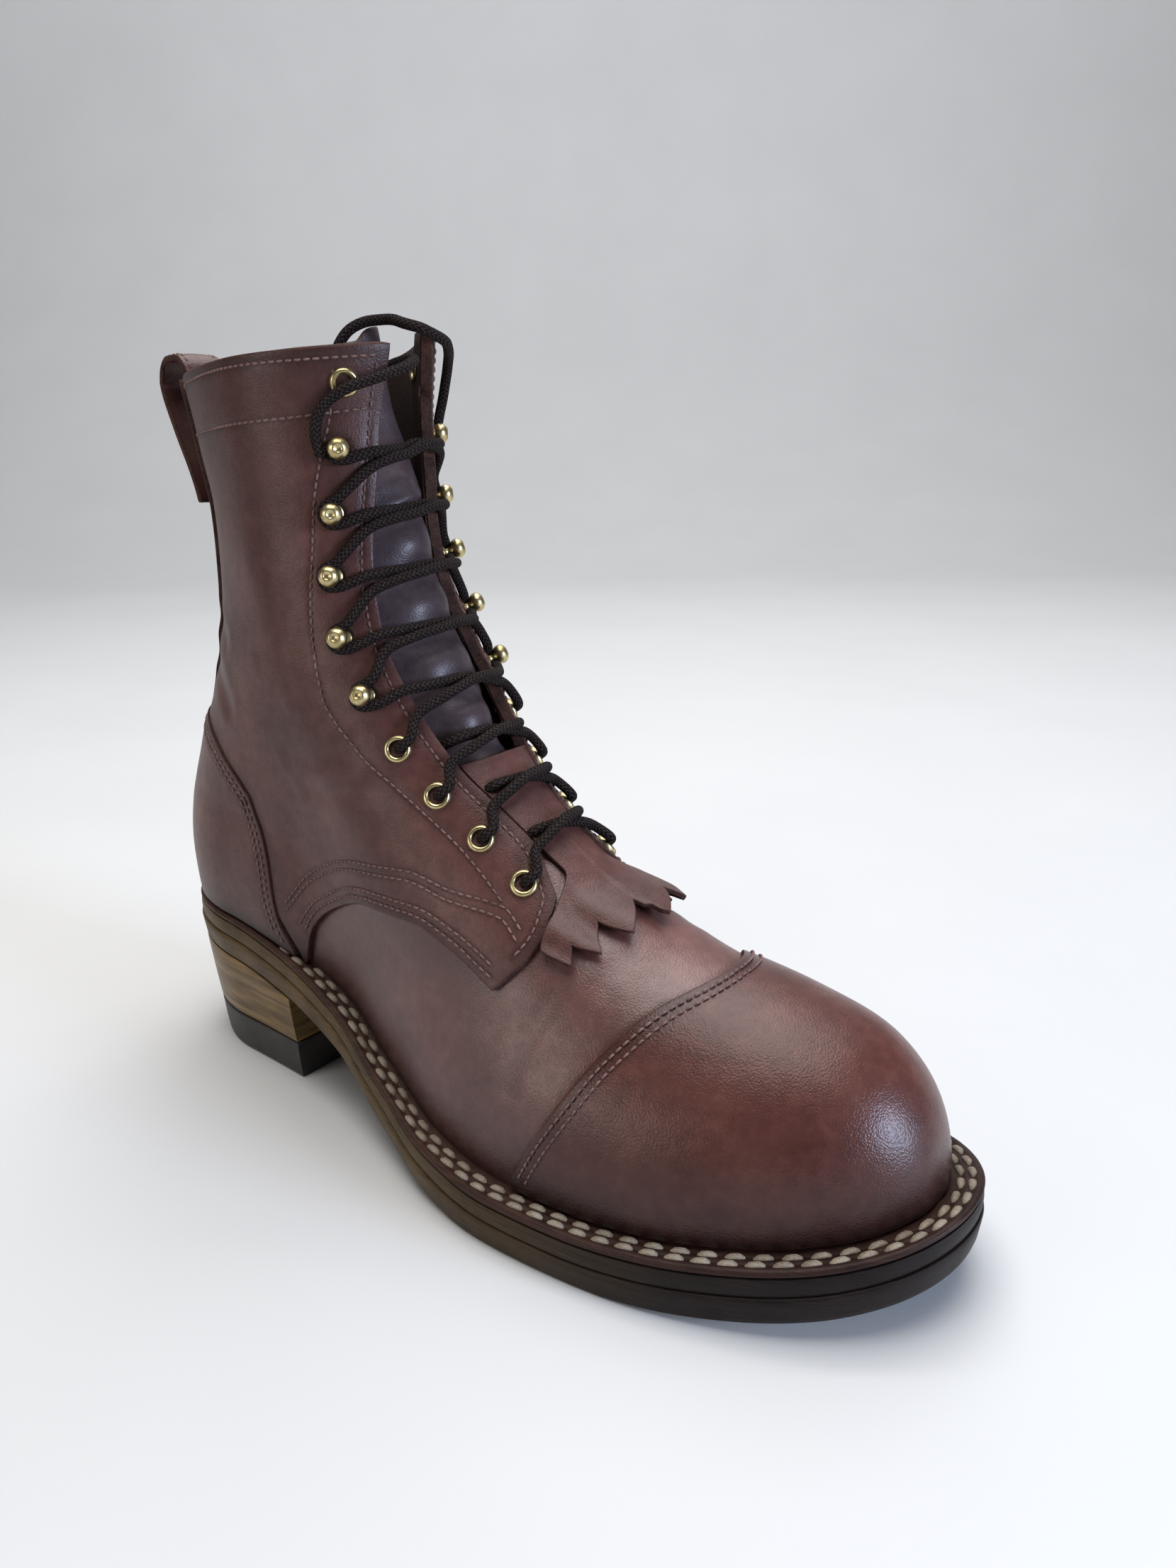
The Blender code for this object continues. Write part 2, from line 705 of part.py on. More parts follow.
def under_panels(points):
    """Share, 0 to 1, by which points of the skin lie under the cap, quarter or counter."""
    x = points[..., 0]
    z = points[..., 2]
    seam = np.array([(height, place) for place, height in CAP_SEAM])
    arch = np.array(QUARTER_ARCH)
    nose = np.array([(height, place) for place, height in QUARTER_NOSE])
    cap = x - curve(seam, 1, z)
    above = np.where(x < arch[0, 0], SINK_RUN, z - curve(arch, 1, x))
    quarter = np.minimum(above, curve(nose, 1, z) - x)
    return np.maximum(ease(-2, SINK_RUN, cap), ease(-2, SINK_RUN, quarter))


def add_upper():
    """Vamp and lining in one hollow wall, open at the collar, the throat and underneath."""
    rows = 22
    back_columns = 18
    front_columns = 4
    low_rows = 9
    low = np.linspace(0, THROAT_ROW, low_rows + 1)
    up = np.concatenate([low, np.linspace(THROAT_ROW, 1, rows - low_rows)[1:]])
    edge = np.array([turn_from_ridge(u, curve(FACING, 1, u)) for u in up])
    back = np.linspace(0, 1, back_columns)[None, :] * edge[:, None]
    front = edge[:, None] + np.linspace(0, 1, front_columns + 1)[None, 1:] * (np.pi - edge)[:, None]
    half = np.concatenate([back, front], axis=1)
    turn = np.concatenate([-half[:, :0:-1], half], axis=1)
    up = np.broadcast_to(up[:, None], turn.shape)
    outer, inner = inner_wall(turn, up, WALL)
    outer = outer + (inner - outer) * (SINK / WALL * under_panels(outer))[..., None]
    cells = np.ones((turn.shape[0] - 1, turn.shape[1] - 1), bool)
    cells[low_rows:, :front_columns] = False
    cells[low_rows:, -front_columns:] = False
    shell("upper", "leather", outer, inner, cells)


def overlay(name, finish_name, grid, side, height, thickness):
    """Panel over the skin from a grid of turn and share up."""
    turn = grid[..., 0] * side
    up = np.clip(grid[..., 1], 0, 1)
    low = raised(turn, up, np.full(turn.shape, height))
    high = raised(turn, up, np.full(turn.shape, height + thickness))
    return shell(name, finish_name, high, low)


def both_sides(half):
    """Grid of a half panel continued over the middle line, its first column."""
    other = half[:, :0:-1].copy()
    other[..., 0] *= -1
    return np.concatenate([other, half], axis=1)


def add_quarters():
    """Shaft panels: round the counter and along the arch below, collar, facing and nose above."""
    rows = 11
    top = edge_on_skin(np.array(COUNTER_TOP) + COUNTER_CLEAR, 7)
    front = edge_on_skin(np.array(COUNTER_FRONT[::-1]) + COUNTER_CLEAR, 5)
    arch = edge_on_skin(QUARTER_ARCH, 11)
    low = np.concatenate([top, front[1:-1], arch])
    low[0, 0] = BACK_SEAM
    facing_up = np.linspace(1, FACING_FOOT, 9)
    facing = np.array([(turn_from_ridge(u, curve(FACING, 1, u)), u) for u in facing_up])
    nose = edge_on_skin(QUARTER_NOSE[::-1], 5)
    collar_turn = np.linspace(BACK_SEAM, facing[0, 0], len(low) - len(facing) - 2)
    collar = np.stack([collar_turn, np.ones_like(collar_turn)], -1)
    high = np.concatenate([collar, facing[1:], nose[1:-1]])
    share = np.linspace(0, 1, rows)
    low_at = side_view(low[:, 0], low[:, 1])
    high_at = side_view(high[:, 0], high[:, 1])
    at = low_at[:, None] + (high_at - low_at)[:, None] * share[None, :, None]
    seam = side_view(np.full(rows, BACK_SEAM), low[0, 1] + (1 - low[0, 1]) * share)
    near_seam = np.linspace(1, 0, len(low)) ** 2
    at = at + near_seam[:, None, None] * (seam - at[0])[None]
    grid = np.stack(turn_at(at[..., 0], at[..., 1]), -1)
    for name, side in (("quarter_outer_side", -1), ("quarter_inner_side", 1)):
        overlay(name, "leather", grid, side, OVERLAY_GAP, QUARTER_THICKNESS)


def add_toe_cap():
    """Cap from the seam across the vamp to the tip of the toe."""
    rows = 9
    columns = 10
    seam = edge_on_skin(CAP_SEAM, rows)
    seam[0, 1] = PANEL_FOOT
    seam[-1, 0] = np.pi
    low = np.stack([np.linspace(seam[0, 0], np.pi, columns), np.full(columns, PANEL_FOOT)], -1)
    high = np.stack([np.full(columns, np.pi), np.linspace(seam[-1, 1], PANEL_FOOT, columns)], -1)
    tip = np.repeat(low[-1:], rows, axis=0)
    half = patch(low, high, seam, tip)[:, ::-1]
    overlay("toe_cap", "leather", both_sides(half), 1, OVERLAY_GAP, CAP_THICKNESS)


def add_counter():
    """Heel counter round the back, from the feather line to its arched top."""
    rows = 8
    columns = 9
    front = edge_on_skin(COUNTER_FRONT, rows)
    top = edge_on_skin(COUNTER_TOP, columns)
    front[0, 1] = PANEL_FOOT
    front[-1] = top[-1]
    top[0, 0] = 0.0
    low = np.stack([np.linspace(0, front[0, 0], columns), np.full(columns, PANEL_FOOT)], -1)
    seam = np.stack([np.zeros(rows), np.linspace(PANEL_FOOT, top[0, 1], rows)], -1)
    half = np.swapaxes(patch(low, top, seam, front), 0, 1)
    overlay("heel_counter", "leather", both_sides(half), 1, OVERLAY_GAP, COUNTER_THICKNESS)


def add_back_strip():
    """Strip over the back seam from the counter to the collar."""
    rows = 9
    columns = 7
    start = turn_at(np.array(COUNTER_TOP[0][0]), np.array(COUNTER_TOP[0][1] + 3.0))[1]
    up = np.linspace(start, 1, rows)
    turns = np.linspace(0, 1.2, 300)
    grid = []
    for u in up:
        reach = np.abs(skin(turns, np.full_like(turns, u))[:, 1] - centre(BACK[-1, 1]))
        grid.append(np.interp(np.linspace(-1, 1, columns) * BACK_STRIP_HALF,
                              np.concatenate([-reach[:0:-1], reach]),
                              np.concatenate([-turns[:0:-1], turns])))
    turn = np.array(grid)
    up = np.broadcast_to(up[:, None], turn.shape)
    height = OVERLAY_GAP + QUARTER_THICKNESS + STRIP_GAP
    overlay("back_strip", "leather", np.stack([turn, up], -1), 1, height, STRIP_THICKNESS)


def add_pull_loop():
    """Leather loop standing off the back of the collar."""
    path = smooth_path(LOOP_PATH, 12)
    path[:, 0] += np.interp(path[:, 1], SEAM_Z, SEAM_X)
    along = np.gradient(path, axis=0)
    along /= np.linalg.norm(along, axis=1, keepdims=True)
    across = np.stack([-along[:, 1], along[:, 0]], -1) * LOOP_THICKNESS / 2

    def sheet(flat):
        width = np.array([-LOOP_HALF_WIDTH, 0.0, LOOP_HALF_WIDTH])
        grid = np.zeros((len(flat), 3, 3))
        grid[..., 0] = flat[:, 0, None]
        grid[..., 1] = width[None, :]
        grid[..., 2] = flat[:, 1, None]
        return grid

    shell("pull_loop", "leather", sheet(path + across), sheet(path - across))


def front_grid(distances, ups):
    """Turns of a sheet across the front ridge: a row of distances for each share up."""
    turn = np.array([across_front(row, np.full(len(row), u)) for row, u in zip(distances, ups)])
    up = np.broadcast_to(np.asarray(ups)[:, None], turn.shape)
    return turn, up


def add_tongue():
    """Tongue behind the facings, leaning back into the shaft near the collar."""
    ups = np.linspace(TONGUE[0, 0], TONGUE[-1, 0], 14)
    share = np.linspace(-1, 1, 9)
    turn, up = front_grid(np.repeat(share[None] * TONGUE_HALF, len(ups), axis=0), ups)
    edge = curve(TONGUE, 1, up)
    middle = curve(TONGUE, 2, up)
    facing = curve(FACING, 1, up) / TONGUE_HALF
    crown = 1 - ease(0.25 * facing, 0.95 * facing, np.abs(share)[None])
    depth = edge + (middle - edge) * crown
    outer = skin(turn, up)
    inward = -normals(turn, up, 0.0)
    top = outer + inward * depth[..., None]
    shell("tongue", "dark_leather", top, top + inward * TONGUE_THICKNESS)


def add_kiltie():
    """Fringe over the vamp, its lower edge cut in teeth and standing off a little."""
    share = KILTIE_EDGE[:, 0] / curve(KILTIE, 1, KILTIE_EDGE[:, 1])
    share = np.clip(share, -1, 1)
    rise = np.linspace(0, 1, 6)[:, None]
    up = KILTIE_EDGE[:, 1] * (1 - rise) + KILTIE_TOP * rise
    distance = share * curve(KILTIE, 1, up)
    turn = np.array([across_front(row, ups) for row, ups in zip(distance, up)])
    loose = 1 - ease(0.270, 0.335, up)
    height = OVERLAY_GAP + 0.8 * loose + loose * curve(KILTIE_LIFT, 1, distance)
    shell("kiltie", "leather", raised(turn, up, height + KILTIE_THICKNESS), raised(turn, up, height))


def lacing_rows(side):
    """Turn and share up of the lacing points on one side, evenly spaced over the surface."""
    up = np.linspace(ROW_FIRST, ROW_LAST, 60)
    turn = np.array([turn_from_ridge(u, curve(FACING, 1, u) + ROW_SETBACK) for u in up]) * side
    run = np.linalg.norm(np.diff(skin(turn, up), axis=0), axis=1)
    run = np.concatenate([[0], np.cumsum(run)])
    even = np.linspace(0, run[-1], ROWS)
    return np.interp(even, run, turn), np.interp(even, run, up)


def turned(name, finish_name, profile, place, direction, steps, closed):
    """Turned piece standing on a point of the surface; the profile runs down its outer side."""
    mesh = bpy.data.meshes.new(name)
    made = bmesh.new()
    verts = [made.verts.new((r * MM, 0, z * MM)) for r, z in profile]
    for a, b in zip(verts, verts[1:]):
        made.edges.new((a, b))
    if closed:
        made.edges.new((verts[-1], verts[0]))
    made.to_mesh(mesh)
    made.free()
    piece = finish(name, mesh, finish_name)
    screw = piece.modifiers.new("turn", "SCREW")
    screw.axis = "Z"
    screw.steps = steps
    screw.render_steps = steps
    screw.use_merge_vertices = True
    screw.merge_threshold = 0.00001
    spin = Vector(direction).to_track_quat("Z", "Y").to_matrix().to_4x4()
    piece.matrix_local = Matrix.Translation(Vector(place) * MM) @ spin
    return piece


def add_hardware():
    """Brass eyelets and ball speed hooks in two rows."""
    eyelet = ((EYELET_RADIUS - 1.2, EYELET_HEIGHT), (EYELET_RADIUS - 0.3, EYELET_HEIGHT * 0.75),
              (EYELET_RADIUS, 0.0), (EYELET_HOLE, 0.0), (EYELET_HOLE + 0.5, EYELET_HEIGHT * 0.85))
    head = HOOK_HEAD_RADIUS
    hook = ((0.0, HOOK_HEIGHT), (head * 0.62, HOOK_HEIGHT - 0.8), (head, HOOK_HEIGHT - 2.6),
            (head * 0.75, HOOK_HEIGHT - 4.6), (1.8, HOOK_HEIGHT - 5.2), (1.8, 0.8),
            (head * 0.95, 0.0), (0.0, 0.0))
    seat = OVERLAY_GAP + QUARTER_THICKNESS + 0.6
    for word, side in (("outer", -1), ("inner", 1)):
        turns, ups = lacing_rows(side)
        places = raised(turns, ups, seat + 1.2 * (side > 0) * ease(0.6, 0.8, ups))
        directions = normals(turns, ups)
        for row in range(ROWS):
            hooked = row in HOOK_ROWS
            kind, profile = ("hook", hook) if hooked else ("eyelet", eyelet)
            name = f"{kind}_{word}_{row + 1}"
            turned(name, "brass", profile, places[row], directions[row], HARDWARE_STEPS, not hooked)


def tube(name, points, radius, roundness=2):
    """Round cord along points in millimetres, as a mesh with joined caps."""
    data = bpy.data.curves.new(name, "CURVE")
    data.dimensions = "3D"
    data.bevel_depth = radius * MM
    data.bevel_resolution = roundness
    data.use_fill_caps = True
    spline = data.splines.new("POLY")
    spline.points.add(len(points) - 1)
    for point, place in zip(spline.points, points):
        point.co = (*(Vector(place) * MM), 1)
    wire = bpy.data.objects.new(name, data)
    boot.objects.link(wire)
    bpy.context.view_layer.update()
    mesh = bpy.data.meshes.new_from_object(wire.evaluated_get(bpy.context.evaluated_depsgraph_get()))
    bpy.data.objects.remove(wire, do_unlink=True)
    made = bmesh.new()
    made.from_mesh(mesh)
    bmesh.ops.remove_doubles(made, verts=made.verts, dist=1e-6)
    made.to_mesh(mesh)
    made.free()
    mesh.materials.clear()
    mesh.name = name
    return finish(name, mesh, "lace")


def joined(pieces):
    """First piece with all the others fused on."""
    first = pieces[0]
    for other in pieces[1:]:
        union = first.modifiers.new("join", "BOOLEAN")
        union.operation = "UNION"
        union.solver = "EXACT"
        union.object = other
        bpy.context.view_layer.update()
        fused = first.evaluated_get(bpy.context.evaluated_depsgraph_get())
        mesh = bpy.data.meshes.new_from_object(fused)
        first.modifiers.clear()
        first.data = mesh
        bpy.data.objects.remove(other, do_unlink=True)
    return first


def add_lace():
    """Crossings of the lace between neighbouring rows, and its two free ends."""
    rows = lacing_rows(-1)[1]
    share = np.linspace(-1, 1, 6)
    climb = curve(LACE_CLIMB, 1, (share + 1) / 2)
    for row in range(ROWS - 2):
        strands = []
        for name, climbing in ((f"lace_cross_{row + 1}", climb), ("strand", climb[::-1])):
            up = rows[row] + (rows[row + 1] - rows[row]) * climbing
            reach = curve(FACING, 1, up) + ROW_SETBACK - EYELET_RADIUS - 2.4
            turn = across_front(share * reach, up)
            points = raised(turn, up, np.full(len(up), LACE_LIFT))
            strands.append(tube(name, points, LACE_RADIUS, 1))
        joined(strands)
    for name, route in (("lace_end_outer", LACE_END_OUTER), ("lace_end_inner", LACE_END_INNER)):
        tube(name, smooth_path(route, 18), LACE_RADIUS)


def main():
    middle_x, middle_y = footprint_middle()
    stand.location = (-middle_x * MM, -middle_y * MM, 0.0)
    add_sole()
    add_heel()
    add_upper()
    add_quarters()
    add_toe_cap()
    add_counter()
    add_back_strip()
    add_pull_loop()
    add_tongue()
    add_kiltie()
    add_hardware()
    add_lace()


main()
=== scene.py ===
"""Right packer boot, dressed: leather panels with their seams, round lace, brass and a welted sole.

Shapes are worked out in millimetres in the frame of the shoe last: x runs from the back of the
sole to the toe, y to the inner side of the foot, z up from the floor. Meshes are made in metres
in the part's frame, whose origin is under the middle of the footprint.
"""

import bpy
import numpy as np
from mathutils import Matrix
from mathutils.kdtree import KDTree

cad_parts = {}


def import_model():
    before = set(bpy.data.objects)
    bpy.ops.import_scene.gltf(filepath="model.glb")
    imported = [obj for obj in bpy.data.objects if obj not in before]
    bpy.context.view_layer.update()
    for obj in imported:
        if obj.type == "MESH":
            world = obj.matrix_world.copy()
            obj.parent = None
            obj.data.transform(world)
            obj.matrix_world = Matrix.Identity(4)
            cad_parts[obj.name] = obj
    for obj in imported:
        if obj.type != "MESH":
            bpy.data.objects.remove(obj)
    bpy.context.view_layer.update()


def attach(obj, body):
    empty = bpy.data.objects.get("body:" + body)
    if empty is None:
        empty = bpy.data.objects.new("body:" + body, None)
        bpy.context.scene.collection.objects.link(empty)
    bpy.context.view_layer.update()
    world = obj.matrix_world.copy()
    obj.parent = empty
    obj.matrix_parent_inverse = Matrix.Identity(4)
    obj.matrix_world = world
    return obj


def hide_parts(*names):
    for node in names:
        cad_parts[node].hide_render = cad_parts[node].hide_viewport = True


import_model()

MM = 0.001

# Sole and heel
LENGTH = 315.0
SOLE_THICKNESS = 17.0
FLANGE_THICKNESS = 2.2
MIDSOLE_THICKNESS = 5.6
HEEL_ROUND = 45.0
TOE_ROUND = 95.0
TOE_POWER = 2.1
HEEL_BREAST = 79.0
HEEL_TAPER = 6.0
TOPLIFT_THICKNESS = 15.0
INSOLE_THICKNESS = 4.0
SOLE_STATIONS = 150

# Leather
GAP = 0.3
FEATHER_GAP = 0.5
OVERLAY_GAP = 0.55
WALL = 2.2
QUARTER_THICKNESS = 1.5
COUNTER_THICKNESS = 2.2
CAP_THICKNESS = 1.6
STRIP_THICKNESS = 1.3
KILTIE_THICKNESS = 1.6
TONGUE_THICKNESS = 2.0
PANEL_TOP = OVERLAY_GAP + QUARTER_THICKNESS
STRIP_TOP = PANEL_TOP + 0.5 + STRIP_THICKNESS
EDGE_ROUND = 0.5
EDGE_ANGLES = np.radians((35, 65, 90))

# Upper
HEEL_FLANGE = 4.0
TOE_FLANGE = 11.5
FEATHER_BULGE = 1.8
BULGE_HEIGHT = 45.0
COLLAR_DIP = 1.5
COLLAR_TILT = 4.0
PINCH_BACK = 6.5
PINCH_IN = 4.5
THROAT_ROW = 0.32
FACING_FOOT = 0.372
BACK_STRIP_HALF = 9.0
COUNTER_CLEAR = (1.0, 0.9)
BACK_SEAM = 0.25
PANEL_FOOT = 0.004
LEVEL_FOOT = 0.06
SINK = 1.0
SINK_RUN = 4.0
STRIP_LAP = 1.2
VAMP_START = 0.95

# Spans over which one form passes into another: heights, places along the foot or shares of the way up
LEG_RISE = (10, 85)
LEG_FADE = (150, 215)
INSTEP_FADE = (135, 205)
PINCH_RISE = (138, 208)
PINCH_NEAR = (0, 8)
PINCH_FAR = (20, 66)
KILTIE_TUCK = (0.335, 0.36)

# Darkening of the leather, the share taken away and how far it reaches: painted shadow by the welt and at
# the cap's foot, painted shade along the seams, a darker collar and burnished edges
WELT_PAINTED_SHADOW = 0.68
WELT_PAINTED_SHADOW_RUN = 9.0
COLLAR_DARKENING = 0.25
COLLAR_DARKENING_SPAN = (185, 250)
CAP_PAINTED_SHADE = 0.6
CAP_PAINTED_SHADE_RUN = 20.0
BURNISH = 0.30
SEAM_SHADE = 0.30

# Sewing: distances of the rows from the edges, and length, width and height of a stitch
STITCH_PITCH = 2.7
STITCH_SIZE = (2.2, 0.8, 0.7)
STITCH_LIFT = 0.06
SEAM_SINK = 0.22
SEAM_WIDTH = 0.9
EDGE_ROWS = (2.4, 5.0)
QUARTER_EDGE_ROWS = (2.4, 5.2)
COLLAR_ROW = 2.6
FACING_ROW = 3.0
ARCH_SPLIT = 1.4
WELT_ROW_OUTER = 3.5
WELT_ROW_INNER = 6.6
WELT_STITCH_SIZE = (6.0, 2.3, 1.7)
WELT_STITCH_LIFT = 0.25

# Lacing
ROWS = 10
ROW_FIRST = 0.342
ROW_LAST = 0.954
HOOK_ROWS = (4, 5, 6, 7, 8)
ROW_SETBACK = 11.5
EYELET_RADIUS = 4.3
EYELET_HOLE = 2.3
LACE_RADIUS = 1.65
LACE_SEAT = PANEL_TOP + LACE_RADIUS
LACE_SPACING = 0.9
LACE_OVER = 4.9
LACE_UNDER = 1.7
KILTIE_TOP = 0.462

# x, half width, centre line, height of the sole's top
SOLE = np.array([
    (0, 33.5, 0.0, 60.0), (45, 34.2, -0.3, 57.6), (75, 35.2, -0.8, 52.4), (105, 36.2, -2.4, 42.0),
    (135, 41.2, -5.2, 28.2), (165, 49.3, -6.2, 19.2), (195, 55.3, -4.4, 16.4),
    (220, 56.6, -2.0, 16.4), (245, 56.6, 0.0, 17.8), (268, 56.6, 1.8, 20.4), (288, 56.6, 2.8, 23.6),
    (303, 56.6, 3.2, 27.4), (315, 56.6, 3.2, 31.6)])

# x, width of the stitched flange outside the upper
FLANGE = np.array([
    (0, 4.0), (45, 4.0), (75, 5.0), (100, 8.5), (150, 9.0), (195, 9.6), (245, 9.6), (315, 11.5)])

# share of the way up, x, z along the ridge from toe to collar
FRONT = np.array([
    (0.00, 303.5, 28.0), (0.05, 301.0, 45.0), (0.09, 293.0, 59.0), (0.13, 279.0, 69.0),
    (0.18, 258.0, 74.5), (0.23, 236.0, 79.0), (0.30, 206.0, 92.0), (0.38, 181.0, 111.0),
    (0.46, 160.0, 131.0), (0.55, 144.0, 153.0), (0.65, 131.5, 178.0), (0.76, 125.0, 205.0),
    (0.88, 124.0, 230.0), (1.00, 127.5, 256.0)])

# share of the way up, x, z along the back seam from heel to collar
BACK = np.array([
    (0.00, 4.0, 60.3), (0.10, 3.8, 78.0), (0.20, 5.4, 97.0), (0.32, 12.0, 120.0),
    (0.45, 19.5, 146.0), (0.60, 24.0, 174.0), (0.75, 23.0, 203.0), (0.88, 17.5, 226.0),
    (1.00, 11.5, 247.0)])

# height, half width, rounding of the front, rounding of the back, fullness of the back
LEG = np.array([
    (60, 31.5, 60, 40, 0.50), (85, 33.0, 60, 42, 0.50), (118, 33.5, 58, 52, 0.60),
    (150, 36.0, 50, 76, 0.75), (200, 39.0, 46, 94, 0.85), (230, 40.0, 46, 100, 0.85),
    (262, 41.0, 46, 106, 0.85)])

# x, squareness of the foot's cross section
FOOT_POWER = np.array([
    (120, 2.0), (180, 2.0), (230, 2.2), (270, 2.4), (315, 2.4)])

# share of the way up, distance of the facing edge from the front ridge
FACING = np.array([
    (0.00, 30.0), (0.10, 24.0), (0.20, 15.0), (0.31, 10.5), (0.36, 10.8), (0.41, 12.5),
    (0.46, 16.0), (0.53, 19.0), (0.59, 20.5), (0.66, 19.5), (0.74, 16.5), (0.86, 12.5),
    (1.00, 10.0)])

# x, z of the panel edges on the side of the boot
COUNTER_FRONT = ((82.0, 52.0), (76.0, 66.5), (73.6, 87.7), (67.4, 108.0))
COUNTER_TOP = ((14.0, 131.0), (32.0, 130.0), (47.0, 125.5), (59.0, 117.0), (67.4, 108.0))
QUARTER_ARCH = ((86.5, 50.0), (93.0, 65.3), (108.3, 77.2), (130.8, 84.9), (151.2, 85.3),
                (166.7, 80.5), (184.5, 71.9))
QUARTER_NOSE = ((184.5, 71.9), (191.0, 79.5), (194.0, 87.0), (192.0, 96.0), (186.5, 103.5))
CAP_SEAM = ((197.2, 17.5), (205.1, 32.6), (213.9, 47.7), (222.1, 61.8), (231.6, 73.1), (240.5, 78.2))

# x, z of the sewn lines on the side of the boot
ARCH_LINE = ((81.0, 70.5), (96.0, 85.0), (125.5, 97.0), (148.0, 99.0), (164.0, 95.0),
             (180.5, 92.0), (188.0, 86.5))
EYESTAY_LINE = ((118.0, 249.0), (110.0, 199.0), (110.0, 179.0), (114.0, 153.0), (125.5, 137.0),
                (149.0, 119.0), (164.0, 108.0), (180.0, 94.5))
BAND_LINE = ((27.5, 228.7), (60.0, 230.5), (91.0, 233.0), (109.0, 235.0), (121.5, 237.5))

# share of the way across, share of the step to the next row, along a strand of lace
LACE_CLIMB = np.array([
    (0.00, 0.18), (0.05, 0.40), (0.14, 0.62), (0.27, 0.74), (0.42, 0.79), (0.71, 0.83),
    (1.00, 0.84)])

# share of the way up, half width of the kiltie
KILTIE = np.array([
    (0.255, 39.5), (0.275, 36.5), (0.295, 29.0), (0.319, 18.0), (0.345, 9.0), (0.405, 8.0)])

# distance from the front ridge, share of the way up, along the kiltie's toothed edge
KILTIE_EDGE = np.array([
    (-36.5, 0.279), (-33.3, 0.262), (-27.1, 0.279), (-23.1, 0.267), (-15.0, 0.293), (-11.7, 0.273),
    (-1.8, 0.297), (2.4, 0.2735), (12.2, 0.290), (16.2, 0.2725), (22.6, 0.284), (27.4, 0.266),
    (31.0, 0.278), (36.0, 0.264), (36.5, 0.278)])

# distance from the front ridge, how far the kiltie's lower edge stands off
KILTIE_LIFT = np.array([
    (-32.0, 1.0), (-26.0, 1.2), (-20.0, 0.8), (-15.0, 1.6), (-9.0, 2.8), (2.0, 3.0), (12.0, 3.8),
    (20.0, 4.2), (32.0, 1.5)])

# share of the way up, how far the tongue's edge and its middle lie inside the boot's outer surface
TONGUE = np.array([
    (0.29, 3.6, 3.6), (0.33, 5.4, 3.0), (0.42, 6.4, 0.9), (0.52, 5.4, 0.3), (0.56, 3.0, 0.3),
    (0.70, 3.4, 0.6), (0.78, 3.8, 2.4), (0.83, 5.5, 7.5), (0.90, 11.0, 13.0), (0.995, 17.0, 18.0)])
TONGUE_HALF = 27.0
TONGUE_SWELL = 1.4
TONGUE_FOLD = 2.2
TONGUE_FOLD_UP = 0.775

# x behind the back seam, z along the middle of the pull loop
LOOP_PATH = ((-5.3, 206.0), (-6.6, 218.0), (-9.2, 232.0), (-10.4, 243.0), (-9.4, 250.5),
             (-5.0, 255.4), (0.5, 255.6), (4.5, 252.8), (6.2, 249.8))
LOOP_HALF_WIDTH = 8.0
LOOP_THICKNESS = 2.0

# x, y, z along the middle of the two free lace ends
LACE_END_OUTER = ((116.5, -32.8, 222.0), (115.8, -33.6, 228.0), (116.8, -32.8, 233.5),
                  (119.9, -30.8, 237.6), (125.4, -28.0, 240.8), (129.0, -23.0, 242.8),
                  (131.0, -17.5, 244.6), (131.8, -11.5, 246.6), (130.2, -6.2, 248.4),
                  (126.0, -2.8, 249.4), (120.6, -2.4, 249.0), (115.2, -4.6, 247.2))
LACE_END_INNER = ((110.2, 21.6, 227.9), (111.0, 22.7, 233.2), (112.6, 23.1, 238.6),
                  (115.2, 22.2, 244.2), (119.8, 19.0, 249.6), (125.6, 13.4, 253.2),
                  (129.8, 6.4, 255.6), (129.2, -0.2, 257.8), (123.6, -3.2, 259.7),
                  (117.0, -3.0, 261.3), (111.2, -4.6, 261.2), (106.0, -8.0, 259.3),
                  (102.6, -11.0, 254.2), (101.0, -13.0, 247.4), (100.3, -14.5, 240.0))

# Camera: place in the frame of the last, turn, height angle and roll in degrees, focal length in pixels
CAMERA_PLACE = (392.5, -261.24, 224.68)
CAMERA_TURN = 37.91
CAMERA_DROP = 16.66
CAMERA_ROLL = -0.77
CAMERA_FOCAL = 1610.89
IMAGE_HEIGHT = 2212


def curve(table, column, at):
    """Smooth curve without overshoot through one column of a table whose first column rises."""
    knots = table[:, 0]
    values = table[:, column]
    spans = np.diff(knots)
    slopes = np.diff(values) / spans
    tangents = np.empty_like(values)
    tangents[0] = slopes[0]
    tangents[-1] = slopes[-1]
    before = slopes[:-1]
    after = slopes[1:]
    together = before * after > 0
    mean = np.where(together, 2 * before * after / np.where(together, before + after, 1), 0)
    tangents[1:-1] = mean
    at = np.clip(at, knots[0], knots[-1])
    i = np.clip(np.searchsorted(knots, at, side="right") - 1, 0, len(spans) - 1)
    u = (at - knots[i]) / spans[i]
    rise = u * u * (3 - 2 * u)
    lean = tangents[i] * u * (1 - u) ** 2 - tangents[i + 1] * u * u * (1 - u)
    return values[i] * (1 - rise) + values[i + 1] * rise + spans[i] * lean


def ease(start, end, at):
    """Smooth step from 0 at start to 1 at end."""
    u = np.clip((at - start) / (end - start), 0, 1)
    return u * u * (3 - 2 * u)


def rounded(distance, radius, power=2.0):
    """Rise of a rounded end, from 0 at its tip to 1 one radius away."""
    u = np.clip(1 - distance / radius, 0, 1)
    return (1 - u ** power) ** (1 / power)


def unit(vectors):
    return vectors / np.maximum(np.linalg.norm(vectors, axis=-1, keepdims=True), 1e-9)


def run_along(path):
    """Length along a line of points, from 0 at its first point."""
    return np.concatenate([[0], np.cumsum(np.linalg.norm(np.diff(path, axis=0), axis=1))])


def length_of(path):
    return float(np.sum(np.linalg.norm(np.diff(path, axis=0), axis=1)))


def centre(x):
    return curve(SOLE, 2, x)


def sole_top(x):
    return curve(SOLE, 3, x)


def tread(x):
    """Underside of the outsole, flat on the floor under the ball of the foot."""
    return np.maximum(sole_top(x) - SOLE_THICKNESS, 0)


